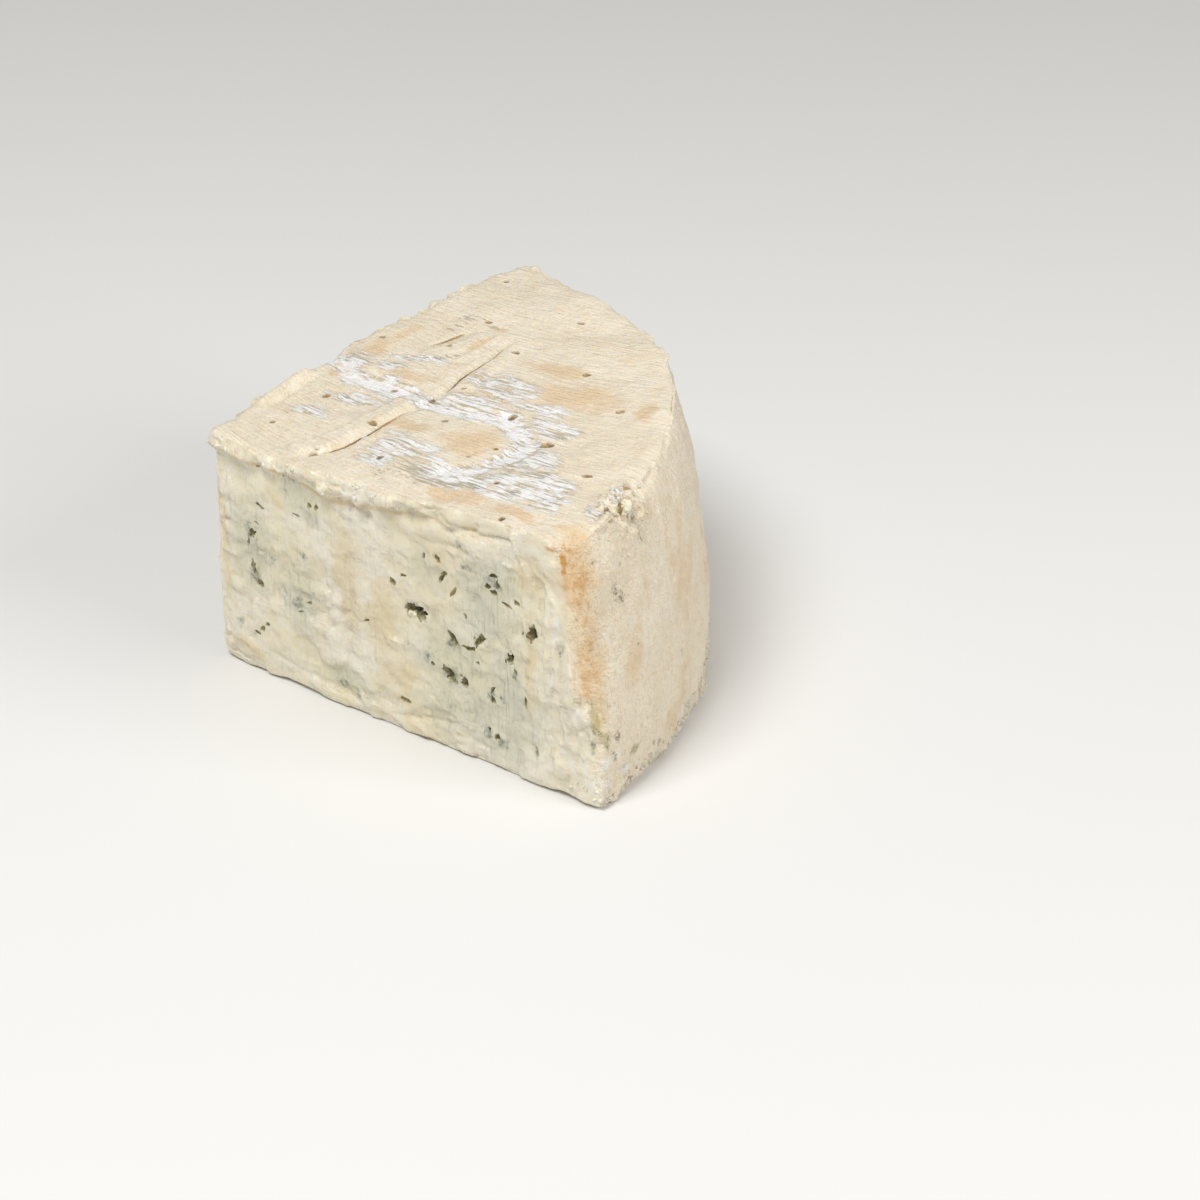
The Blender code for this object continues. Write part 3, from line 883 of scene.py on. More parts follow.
def pocket_cutters(skin, place, material, sizes):
    """Each ball's middle lies under the surface, so that its rim overhangs."""
    quarter = math.pi / 4
    sides = (
        (FRONT_POCKETS, ALONG_FRONT, UP, -ALONG_BACK, Matrix.Rotation(-quarter, 3, "Z")),
        (BACK_POCKETS, ALONG_BACK, UP, -ALONG_FRONT, Matrix.Rotation(quarter, 3, "Z")),
        (SCAR_POCKETS, Vector((1, 0, 0)), Vector((0, 1, 0)), UP, Matrix.Rotation(2 * quarter, 3, "X")),
    )
    balls = []
    for pockets, along, above, outward, upright in sides:
        for distance, height, wide, tall, deep, tilt in with_satellites(pockets):
            spot = (along * distance + above * height) * MM + UP * HEIGHT * (outward == UP)
            mouth = surface_point(skin, place, spot, outward)
            turn = upright @ Matrix.Rotation(math.radians(tilt), 3, "Y")
            size = tuple(BALL_SIZE * MM * side for side in (wide, BALL_DEPTH * deep, tall))
            balls.append((mouth - outward * BALL_SINK * deep * MM, size, tuple(turn.to_euler())))
    tree = pocket_tree(material)
    values = {"Roughness": sizes.pocket_roughness, "Lump size": POCKET_LUMPS}
    cutters = []
    for large, subdivisions in ((True, LARGE_FACES), (False, SMALL_FACES)):
        for group in apart([ball for ball in balls if (max(ball[1]) > LARGE_BALL) == large]):
            places, size, turn = zip(*group)
            cutter = point_cloud("pockets", places, {"size": size, "turn": turn})
            use_tree(cutter, tree, values | {"Subdivisions": subdivisions})
            settle(cutter)
            cutters.append(cutter)
    return cutters


def needle_cutter(skin, place, material, sizes):
    places, size = [], []
    for distance, degrees, wide in NEEDLE_HOLES:
        over = Matrix.Rotation(math.radians(degrees), 3, "Z") @ Vector((distance * MM, 0, HEIGHT))
        places.append(surface_point(skin, place, over, UP) - UP * sizes.needle_depth * 0.85)
        size.append((wide, 0.75 * wide, 1))
    cutter = point_cloud("needles", places, {"size": size})
    values = {"Radius": sizes.needle_radius, "Depth": sizes.needle_depth, "Roughness": NEEDLE_ROUGHNESS}
    use_tree(cutter, needle_tree(material), values)
    settle(cutter)
    return cutter


def groove_cutter(skin, place, material, sizes):
    """Bars that lie along the surface and fade out at both ends."""
    points, edges, widths = [], [], []
    for line, width in GROOVES:
        first = len(points)
        for i, (x, y) in enumerate(line):
            over = Vector((x * MM, y * MM, HEIGHT))
            taper = GROOVE_TAPER[min(i, len(line) - 1 - i, 2)]
            points.append(surface_point(skin, place, over, UP) + UP * sizes.groove_radius * (1 - 1.5 * taper))
            widths.append(width * taper)
        edges += [(i, i + 1) for i in range(first, len(points) - 1)]
    mesh = bpy.data.meshes.new("grooves")
    mesh.from_pydata(points, edges, [])
    mesh.attributes.new("width", "FLOAT", "POINT").data.foreach_set("value", widths)
    cutter = mesh_object("grooves", mesh)
    values = {"Radius": sizes.groove_radius, "Roughness": GROOVE_ROUGHNESS}
    use_tree(cutter, groove_tree(material), values)
    settle(cutter)
    return cutter


def cut_away(obj, cutter):
    modifier = obj.modifiers.new(cutter.name, "BOOLEAN")
    modifier.operation = "DIFFERENCE"
    modifier.solver = "MANIFOLD"
    modifier.object = cutter


# What each layer of colour on the surface's points holds, in its red, green, blue and alpha; blue and grey
# also hold painted shade in the torn place, and crease is partly painted shade under the lip
PAINTED = {
    "zones": ("top", "rind", "cut", "depth"),
    "growth": ("blue", "white", "tan", "green"),
    "stain": ("orange", "grey", "yellow", "crease"),
}
# Blue mould reaches this many millimetres out of a pocket
HALO = 1.2

# What grows on the surface, in spots: x and y on the top, distance along the front cut and height on it
WHITE_ON_TOP = (
    (31, 6, 9, 4, -28), (46, 11, 11, 4, -28), (52, -31, 11, 3.6, -28), (72, -49, 14, 6, -28),
    (64, -28, 10, 3.4, -28), (46, 38, 6, 5, -28), (57, -20, 6, 2, -28), (92, 12, 13, 6, -28),
    (81, -1, 9, 6, -28), (101, -9, 9, 4.5, -28), (107, -26, 7, 3.6, -28), (95, -44, 8, 9, -28),
    (94, -68, 12, 6, -28), (84, -60, 12, 6, -28), (68, 34, 10, 3, -28), (99, -60, 8, 6, -28),
    (58, 30, 8, 3, -28), (120, -68, 7, 4, 58), (114, -78, 6, 3, 58), (56, -28, 11, 3, -40),
    (69, -41, 12, 3.4, -42), (88, -57, 9, 4, -42), (103, -19, 7, 4, -28), (92, 3, 10, 4, -28),
)
TAN_ON_TOP = (
    (54, 44, 14, 5, 45), (40, 31, 5, 3, 30), (62, 23, 11, 4, -28), (61, -13, 11, 4.5, -28),
    (71, -61, 12, 6, -40), (78, -27, 11, 8, -28), (112, 0, 18, 11, -28), (84.5, -33.4, 3, 1.8, 0),
    (99, -20, 5, 3, 0), (87, -76, 9, 4, -45), (88, 42, 8, 1.6, 35), (94, 51, 4, 3, 0), (102, -91, 8, 5, -45),
    (110, 18, 12, 5, -28), (121, -72, 3, 3, 0), (134, -15, 4, 7, 0), (90, -2, 6, 1.6, -28), (84, 1, 3, 2, 0),
    (65, 54, 6, 3.4, 40),
)
# The spots at the torn place, near x 117 to 124 and y -74 to -76, are painted shade in its crevices; the
# others are grey mould
GREY_ON_TOP = (
    (64, -51, 11, 4, -28), (86, -66, 9, 4, -28), (96, -55, 7, 5, -28), (117, -76, 6, 3, 58),
    (94, -29, 3, 3.4, 0), (86.5, -51, 5, 3.4, -50), (86, 60, 9, 2.6, -10), (92, 53, 3, 2, 0),
    (75, 34, 11, 1.8, 35), (80, 57, 8, 3, 0), (42, 14, 3.4, 2, 0), (70, 5, 4, 3, 0), (60, -43, 16, 6, -28),
    (124, -74, 3, 4, 0), (76, -56, 14, 5, -28), (90, -46, 6, 8, -28), (118, -74, 6, 3, 58),
)
BLUE_ON_FRONT = (
    (33, 73.5, 4, 2.6, -30), (38, 49, 3, 1.8, -30), (35, 31, 4.6, 3.4, 0), (52, 8, 4.6, 2.8, -10),
    (58, 5.6, 4, 1.8, -20), (116, 25, 2, 2.6, 0), (110, 11, 3.4, 3.4, 0), (139, 50, 2, 3, 0),
    (10, 16, 2.4, 3, 0), (24, 42, 3, 3.4, 0), (16, 50, 3.6, 4.6, 30), (16, 34, 3.6, 5.4, -20),
    (82, 44, 6, 4.6, 0), (97, 38, 5, 4, 0), (96, 26, 7, 5, 0), (119, 40, 3, 3.4, 0), (113, 64, 5, 5, 0),
    (101, 73.6, 3.4, 2.6, -20), (109, 72, 2, 2, 0), (116, 10, 3, 3.4, 0), (87, 30, 3, 4, -30),
    (112, 25, 2.6, 4, 0), (103, 66, 2.4, 1.8, 0), (125, 27, 2, 3, 0), (129, 11, 2.2, 2.6, 0),
    (122, 36, 2.4, 3, -30),
)
GREEN_ON_FRONT = (
    (16, 44, 13, 22, 0), (36, 36, 12, 22, 0), (38, 68, 16, 9, -20), (88, 60, 14, 12, 0), (110, 56, 18, 20, 0),
    (97, 32, 22, 20, -20), (118, 24, 18, 26, 0), (116, 66, 13, 10, 0), (52, 9, 16, 7, 0),
    (100, 14, 26, 10, 0),
)
YELLOW_ON_FRONT = (
    (4, 42, 3, 34, 0), (26, 65, 8, 3, -15), (56, 46, 8, 26, 0), (76, 20, 12, 8, 0), (129, 70, 12, 9, 0),
    (76, 12, 6, 2.6, 0), (70, 36, 10, 16, 0), (92, 66, 8, 5, 0), (128, 40, 3, 22, 0), (12, 8, 9, 5, 0),
)
# White smears near the front corner, lying on the raised front lines; partly painted highlight along those
# ridges
WHITE_ON_FRONT = (
    (134.8, 59.5, 1.5, 6, 4), (137.8, 53, 2, 6, 4), (139.3, 14.2, 2.6, 3.5, 0), (146, 30, 2, 6, 0),
    (143, 12, 2, 3, 0), (136, 40, 1.2, 7, 0),
)
# Middle of the stained band down the front corner: distance along the rind's arc from it, and height
PEACH_BAND = ((5, 86), (3.4, 79), (2.7, 70), (3, 55), (3.2, 45), (3, 38), (2.6, 29))
# The band's half width at each height
PEACH_REACH = ((24, 35, 45, 60, 84), (3.4, 4.6, 6.4, 8.6, 10.5))
# Spots on the rind: distance along its arc from the front corner, height, and so on
ORANGE_ON_RIND = (
    (0.8, 79.6, 2.2, 4.2, 10), (0.4, 76, 1.8, 2.2, 0), (3.4, 82.6, 4, 2.6, 0), (-4, 82.6, 4.5, 1.3, 0),
    (9, 84.6, 5, 2.4, 0),
)
TAN_ON_RIND = (
    (48, 12, 14, 8, 20), (33, 62, 3, 8, 10), (28, 49, 3, 3, 0), (52, 24, 9, 6, 0), (20, 40, 8, 12, 0),
    (62, 50, 16, 30, 0), (105, 34, 26, 22, 0), (150, 50, 20, 24, 0), (195, 34, 16, 20, 0), (44, 80, 12, 4, 0),
)
BLUE_ON_RIND = (
    (1.9, 26, 2.6, 3.6, 10), (1.8, 33, 1.6, 2.4, 0), (0.8, 19.6, 2.4, 3.2, 0), (5, 21, 2.2, 5, 12),
    (7.6, 15.4, 1.6, 4, 10), (18, 13.6, 4.4, 2.4, 30), (9.4, 21.6, 2.4, 3.4, 0), (17.6, 66.4, 2.6, 3.2, 30),
    (19, 63, 3.8, 3.2, 20), (36, 76, 1, 4, 5), (25, 86, 6, 3, 0), (41, 12.6, 2, 1.6, 0), (22, 72, 1.6, 2, 0),
    (12, 77, 3, 1.4, 0), (24, 46, 1.6, 1.6, 0), (50, 30, 2, 2.4, 0),
)
WHITE_ON_RIND = (
    (0.6, 30.5, 2.4, 5, 0), (1.2, 8, 8, 5, 0), (13, 9, 5, 3, 0), (11.4, 53, 2, 4.4, 0), (-6, 58, 2, 9, 0),
    (-3, 52, 1.4, 7, 0), (9, 16, 3, 3, 0), (-4, 14, 3, 4, 0), (4, 14, 4, 4, 0),
)
OLIVE_ON_RIND = (
    (3, 30, 2.2, 6, 5), (2.6, 24.6, 2, 3, 0), (1, 20, 2, 2, 0), (5, 22, 1.6, 4, 10), (18, 13.4, 3, 1.6, 30),
)


def on_cuts(here, wander, spots):
    """Spots of the front cut, which show on the back cut too, the other way round."""
    turned = here.flat_back * (-1, 1) + (BELLY_RADIUS / MM, 0)
    sides = ((here.front, here.flat_front), (here.back, turned))
    return sum(side * in_spots(flat + wander, spots) for side, flat in sides)


def blue_growth(here, wander):
    """Blue mould of the veins, around the pockets and on the rind, and blue-grey painted shade in the torn
    place.
    """
    # Painted shade, blue-grey, in the crevices of the torn place
    torn = in_spots(here.flat_top, SCAR) * smoothstep(0.0, 0.5, -layered_grain(here.points, 2.5, 2, 29))
    found = [on_cuts(here, wander, BLUE_ON_FRONT), 0.6 * here.top * torn]
    found.append(here.on_rind * in_spots(here.flat_rind + wander, BLUE_ON_RIND))
    for side, flat, pockets in here.pocketed():
        halos = [(x, y, wide / 2 + HALO, tall / 2 + HALO, tilt) for x, y, wide, tall, _, tilt in pockets]
        found.append(side * 0.62 * in_spots(flat + wander, halos))
    return np.max(found, axis=0)


def white_growth(here, wander, fine):
    """White mould along the pressed band and in spots; the white on the front's raised streaks is partly
    painted highlight.
    """
    in_band = 1.5 - distance_to_line(here.flat_top + 0.8 * wander, PRESSED_BAND) / 3.8
    found = (
        here.top * in_spots(here.flat_top + 1.6 * wander, WHITE_ON_TOP),
        here.top * (in_band + 0.5 * grain(here.points, 9, 35)).clip(0, 1.3),
        here.on_rind * in_spots(here.flat_rind + fine, WHITE_ON_RIND),
        # Partly painted highlight on the front's raised streaks
        here.front * in_spots(here.flat_front + 0.6 * fine, WHITE_ON_FRONT),
    )
    return np.max(found, axis=0)


def stains(here, wander, fine):
    """Tan, orange, grey and yellow stains, green paste, and the crease under the lip, an ochre line partly
    darkened as painted shade; the grey at the torn place is painted shade.
    """
    top, on_rind, flat_top, flat_rind = here.top, here.on_rind, here.flat_top, here.flat_rind
    tan = 0.55 * on_rind * in_spots(flat_rind + 1.5 * wander, TAN_ON_RIND)
    on_corner = np.maximum(on_rind, top * smoothstep(134, 141, np.linalg.norm(flat_top, axis=1)))
    reach = np.interp(flat_rind[:, 1], *PEACH_REACH)
    peach = (1.35 - distance_to_line(flat_rind + 1.3 * fine, PEACH_BAND) / reach).clip(0, 1)
    olive = on_rind * in_spots(flat_rind + fine, OLIVE_ON_RIND)
    # The crease under the lip: an ochre line, partly painted shade
    crease = here.front * np.exp(-(((here.drop - 1.05 - 0.15 * grain(here.points, 6, 36)) / 0.16) ** 2))
    return {
        "tan": np.maximum(top * in_spots(flat_top + wander, TAN_ON_TOP), tan),
        "orange": on_corner * np.maximum(in_spots(flat_rind + fine, ORANGE_ON_RIND), 0.6 * peach),
        # The grey spots at the torn place are painted shade in its crevices
        "grey": np.maximum(top, on_rind) * in_spots(flat_top + wander, GREY_ON_TOP),
        "yellow": np.maximum(on_cuts(here, wander, YELLOW_ON_FRONT), olive),
        "green": on_cuts(here, wander, GREEN_ON_FRONT),
        "crease": crease * (1 - smoothstep(90, 112, here.along)),
    }


def crumbliness(here, depth):
    """Share of the usual number of crumbs at each point of the skin."""
    ledge = 0.25 * here.on_rind * smoothstep(1.5, 2.5, 8 - here.high)
    foot = here.rind * (1 - smoothstep(3, 12, here.high)) + ledge
    lip_here = here.front * (1 - smoothstep(0.8, 1.2, here.drop)) * (1 - smoothstep(80, 100, here.along))
    share = np.clip(foot + 0.9 * here.scar(70) + 0.25 * lip_here, 0, 1)
    return share * (depth < 0.1 * MM) * (here.high > 1.4)


def paint_surface(wedge, place, skin):
    """Stores on every point what grows there, with its painted light and shade, and how deep under the skin
    it lies.
    """
    mesh = wedge.data
    world = coordinates(mesh)
    back_to_axis = np.array(place.inverted())
    depth = np.zeros(len(world))
    facing = np.zeros((len(world), 3))
    for i, point in enumerate(world):
        _, facing[i], _, depth[i] = skin.find_nearest(point)
    here = Surface(world @ back_to_axis[:3, :3].T + back_to_axis[:3, 3], facing)
    wander, fine = 2.2 * shift(here.points, 7, 31), 0.9 * shift(here.points, 2.5, 33)
    shown = {"top": here.top, "rind": here.rind, "cut": here.front + here.back, "depth": depth / MM}
    shown |= {"blue": blue_growth(here, fine), "white": white_growth(here, wander, fine)}
    shown |= stains(here, wander, fine)
    for layer, names in PAINTED.items():
        values = np.stack([shown[name] for name in names], axis=1).astype(np.float32)
        mesh.attributes.new(layer, "FLOAT_COLOR", "POINT").data.foreach_set("color", values.ravel())
    crumbly = crumbliness(here, depth).astype(np.float32)
    mesh.attributes.new("crumbly", "FLOAT", "POINT").data.foreach_set("value", crumbly)


# Material


def painted_wires(sheet):
    """A wire for each thing painted on the points, by its name."""
    found = {}
    for layer, names in PAINTED.items():
        colour = sheet.node("ShaderNodeSeparateColor", {"mode": "RGB"}, {0: sheet.attribute(layer, "Color")})
        found.update(zip(names, [*colour.each(), sheet.attribute(layer, "Alpha")]))
    return found


def texture_wires(sheet, finish):
    """Plain noise, noise that runs down the cuts and the rind, and the top's, which runs in slow curves."""
    place = sheet.node("ShaderNodeTexCoord", output="Object")
    x, y, z = sheet.node("ShaderNodeSeparateXYZ", {}, {0: place}).each()
    over_cloth = y + x * finish.cloth_slope - x * x * finish.cloth_curve
    cloth_place = sheet.node("ShaderNodeCombineXYZ", {}, {"X": x * 0.22, "Y": over_cloth, "Z": z})
    return {
        "smears": sheet.noise(sheet.stretched(place, (1, 1, 0.07)), 1.6, 3, 0.6),
        "broad_smears": sheet.noise(sheet.stretched(place, (1, 1, 0.12)), 6, 2, 0.5),
        "combs": sheet.noise(sheet.stretched(place, (1, 1, 0.05)), 0.9, 1, 0.5),
        "strands": sheet.noise(sheet.stretched(place, (1, 1, 0.2)), 1.0, 3, 0.65),
        "scales": sheet.noise(sheet.stretched(place, (0.4, 0.4, 1)), 1.3, 3, 0.6),
        "cloth": sheet.noise(cloth_place, 0.85, 3, 0.65, 0.35),
        "patches": sheet.noise(place, 14, 4, 0.55),
        "blotches": sheet.noise(place, 4.5, 4, 0.6),
        "curds": sheet.noise(place, 3.0, 1.5, 0.5),
        "specks": sheet.noise(place, 1.1, 3, 0.65),
        "dust": sheet.noise(place, 0.5, 2, 0.6),
    }


def material_wires(sheet, finish):
    """All that the looks are worked out from at each point, under short names."""
    at = SimpleNamespace(**painted_wires(sheet), **texture_wires(sheet, finish))
    at.blotch, at.speck, at.patch = at.blotches - 0.5, at.specks - 0.5, at.patches - 0.5
    at.dusting, at.smear = at.dust - 0.5, at.smears - 0.5
    at.flakes = at.scales.ramp(0.56, 0.66) * at.patches.ramp(0.4, 0.6)
    at.hairs = (0.5 - at.cloth) * at.top
    at.ring = (at.blue + at.speck * 1.3 + at.dusting * 0.5).ramp(0.4, 1.05)
    at.peach = (at.orange + at.patch * 0.8 + at.blotch * 0.8).ramp(0.02, 0.8)
    at.amber = (at.orange + at.blotch * 0.9 + at.speck * 0.5).ramp(0.5, 0.95)
    grown = (at.white * 1.3 - at.hairs * 6.5 + at.blotch * 1.4 + at.speck * 0.7).ramp(0.25, 1.05)
    at.bloom = grown * at.white.ramp(0.0, 0.25) * at.top
    return at


def paste_colour(sheet, at, finish):
    """Cream with knife smears, then what grows in it, then its pockets. The white on the front's raised
    streaks is partly painted highlight, the crease under the lip partly painted shade, and the dark deep in
    the pockets painted shade.
    """
    greenish = (at.green + at.blotch * 1.1 + at.patch * 0.8).ramp(0.25, 0.95)
    smudged = (at.green * 0.6 + at.patch * 2.0 + at.blotch * 1.4).ramp(0.5, 1.1)
    yellowish = (at.yellow + at.blotch + at.patch).ramp(0.3, 1.0)
    # White smears, partly painted highlight where they lie on the front's raised streaks
    smeared = (at.white + at.smear * 1.6 + at.blotch).ramp(0.3, 1.0) * at.cut
    flecks = (at.specks + at.green * 0.08 + at.patch * 0.2).ramp(0.7, 0.8)
    veins = (at.blue + at.speck * 2.4 + at.blotch * 1.2).ramp(0.8, 1.35)
    dots = (at.blue * 0.7 + at.dusting * 3.0 + at.speck).ramp(0.85, 1.15)
    crease_stain_and_shade = (at.crease + at.blotch * 0.8).ramp(0.3, 1.0)
    layers = (
        (at.patches.ramp(0.35, 0.68), finish.paste_pale),
        (at.broad_smears.ramp(0.42, 0.7) * 0.5, finish.paste_pale),
        (at.curds.ramp(0.48, 0.68) * 0.45, finish.paste_pale),
        ((1 - at.curds).ramp(0.54, 0.72) * 0.3, finish.paste_deep),
        (at.flakes * 0.4, finish.paste_pale),
        (at.blotches.ramp(0.5, 0.75) * 0.3, finish.paste_warm),
        (greenish * 0.55, finish.paste_green),
        (smudged * 0.22, finish.mould_grey),
        (yellowish * 0.7, finish.paste_deep),
        (smeared * 0.45, finish.bloom),
        (flecks * 0.4, finish.mould_grey),
        (at.ring * 0.7, finish.mould_grey),
        (veins * 0.8, finish.mould_blue),
        (dots * 0.6, finish.pepper),
        # Ochre in the crease under the lip, partly painted shade
        (crease_stain_and_shade * 0.6, finish.hole),
        (at.depth.ramp(0.1, 1.2) * 0.7, finish.pocket_wall),
        # Painted shade deep in the pockets
        ((at.depth + at.speck * 3).ramp(1.8, 4.5) * 0.9, finish.pocket_shade),
    )
    return sheet.layered(finish.paste, layers)


def rind_colour(sheet, at, finish):
    """Beige with a reddish grain, then its stains, then what grows on it, then its holes; the dark flecks,
    the grey and blue of the torn place and the depths of the holes are painted shade.
    """
    tanned = (at.tan + at.blotch * 1.3 + at.patch * 0.5 - at.hairs).ramp(0.1, 0.85)
    powder = (at.white + at.blotch * 1.8 + at.speck * 1.2).ramp(0.3, 1.3) * (1 - at.top)
    islands = at.white.ramp(0.05, 0.5) * (at.blotches - at.hairs * 0.4).ramp(0.6, 0.68) * at.top
    # Grey mould along the cloth marks; where the grey spots lie in the torn place it is painted shade
    growing = (at.grey * 0.85).atleast(at.white * (1.4 - at.white))
    dusty = (growing * (at.hairs * 8.0 + 1.0) + at.speck * 1.3).ramp(0.5, 1.1)
    # Dark specks of mould; in the torn place, where blue is painted, the specks are painted shade too
    peppered = (at.blue * 0.9 + at.dusting * 2.4 + at.speck * 1.4).ramp(0.8, 1.2)
    layers = (
        (at.patches.ramp(0.35, 0.65), finish.rind_pale),
        (at.hairs.ramp(-0.02, 0.16) * 0.3, finish.rind_pink),
        ((at.hairs * -1).ramp(0.02, 0.16) * 0.25, finish.rind_pale),
        (at.dust.ramp(0.5, 0.66) * at.top * 0.35, finish.rind_pale),
        (at.strands.ramp(0.45, 0.75) * at.rind * 0.4, finish.rind_pink),
        (at.specks.ramp(0.5, 0.66) * at.rind * 0.45, finish.rind_tan),
        (at.dust.ramp(0.5, 0.68) * at.rind * 0.6, finish.rind_pale),
        (at.blotches.ramp(0.5, 0.78) * 0.3, finish.rind_pink),
        (tanned * 0.8, finish.rind_tan),
        (at.peach * 0.92, finish.rind_peach),
        (at.amber * 0.85, finish.rind_orange),
        ((at.yellow + at.blotch).ramp(0.1, 0.8) * at.rind * 0.75, finish.olive),
        (at.white.ramp(0.05, 0.4) * at.hairs.ramp(-0.02, 0.1) * 0.55, finish.rind_tan),
        (at.bloom * 0.95 + powder * 0.6, finish.bloom),
        (islands * 0.6, finish.rind_tan),
        (dusty * 0.8, finish.grime_and_shade),
        (at.ring * 0.45, finish.grime_and_shade),
        (peppered * 0.8, finish.pepper),
        # Dark flecks on the rind, painted shade of its fine pits
        (at.specks.ramp(0.64, 0.76) * at.rind * 0.2, finish.grime_and_shade),
        (at.depth.ramp(0.05, 0.9) * 0.85, finish.hole),
        # Painted shade deep in the needle holes and grooves
        (at.depth.ramp(1.1, 2.6) * 0.95, finish.hole_shade),
    )
    return sheet.layered(finish.rind, layers)


def bump_height(at):
    """Height of the finest relief, which is left to the light."""
    cut_bumps = at.smear * 0.25 + (at.broad_smears - 0.5) * 0.8 + at.blotch * 0.6
    cut_bumps = cut_bumps + (at.combs - 0.5) * (at.patches.ramp(0.45, 0.6) * 0.3 + at.green * 0.5)
    cut_bumps = cut_bumps + (at.curds - 0.5) * 0.9 + at.flakes * 0.06
    top_bumps = (at.cloth - 0.5) * 0.7 + at.blotch * 0.6 + at.speck * 0.35 + at.dusting * 0.2
    rind_bumps = (at.strands - 0.5) * 0.35 + at.blotch * 0.8 + at.speck + at.dusting * 0.8
    return cut_bumps * at.cut + top_bumps * at.top + rind_bumps * at.rind + at.bloom * 0.12


def cheese_material(finish):
    """Cream paste with green-grey veins, and a beige rind with white bloom, all in one surface."""
    material = bpy.data.materials.new("cheese")
    material.use_nodes = True
    tree = material.node_tree
    shader = tree.nodes["Principled BSDF"]
    sheet = Sheet(tree)
    at = material_wires(sheet, finish)
    share = (at.top + at.rind).atleast(at.peach * at.orange.ramp(0.0, 0.15)).atmost(1.0)
    damp = 0.15 + at.smears * 0.14 + at.patches * 0.1
    dry = 0.72 + at.specks * 0.12 - at.amber * 0.35
    values = {"Height": bump_height(at), "Distance": finish.bump * MM, "Strength": 1.0}
    linked = {
        "Base Color": sheet.mix(share, paste_colour(sheet, at, finish), rind_colour(sheet, at, finish)),
        "Roughness": damp * (1 - share) + dry * share,
        "Normal": sheet.node("ShaderNodeBump", {}, values),
        "Coat Weight": at.cut * 0.3 + at.amber * 0.5,
    }
    for name, wire in linked.items():
        tree.links.new(wire.socket, shader.inputs[name])
    shader.inputs["Coat Roughness"].default_value = 0.15
    shader.inputs["Subsurface Weight"].default_value = finish.softness
    shader.inputs["Subsurface Radius"].default_value = (1.0, 0.75, 0.4)
    shader.inputs["Subsurface Scale"].default_value = 2.5 * MM
    shader.inputs["Specular IOR Level"].default_value = 0.55
    return material


def floor_material(colour):
    material = bpy.data.materials.new("studio floor")
    material.use_nodes = True
    shader = material.node_tree.nodes["Principled BSDF"]
    sheet = Sheet(material.node_tree)
    place = sheet.node("ShaderNodeTexCoord", output="Object")
    darker = [c * 0.98 for c in colour[:3]] + [1]
    tone = sheet.mix(sheet.noise(place, 400, 2).ramp(0.3, 0.7), colour, darker)
    material.node_tree.links.new(tone.socket, shader.inputs["Base Color"])
    shader.inputs["Roughness"].default_value = 0.6
    return material


# Settings


def colour_property(name, description, default):
    return FloatVectorProperty(
        name=name, description=description, default=(*default, 1.0), size=4, subtype="COLOR", min=0, max=1
    )


def length_property(name, description, default):
    return FloatProperty(name=name, description=description, default=default, unit="LENGTH", min=0)


class CheeseSizes(bpy.types.PropertyGroup):
    cells_across: IntProperty(name="Cells across", description="Grid of the blank", default=38, min=8, max=44)
    cells_up: IntProperty(name="Cells up", description="Grid of the blank", default=22, min=8, max=28)
    lip_reach: length_property("Lip reach", "How far the rind hangs over the cuts", 3.8 * MM)
    relief: FloatProperty(name="Relief", description="Strength of the fine relief", default=1.0, min=0, max=2)
    needle_radius: length_property("Needle radius", "Radius of the piercing needles", 1.2 * MM)
    needle_depth: length_property("Needle depth", "Depth of the holes", 14 * MM)
    pocket_roughness: FloatProperty(
        name="Pocket roughness", description="Share of a pocket's radius", default=1.7, min=0
    )
    groove_radius: length_property("Groove radius", "Half width of the rack's marks", 0.55 * MM)
    crumb_density: FloatProperty(name="Crumbs", description="Crumbs per square metre", default=260000, min=0)
    crumb_smallest: length_property("Smallest crumb", "Radius", 0.25 * MM)
    crumb_largest: length_property("Largest crumb", "Radius", 0.9 * MM)


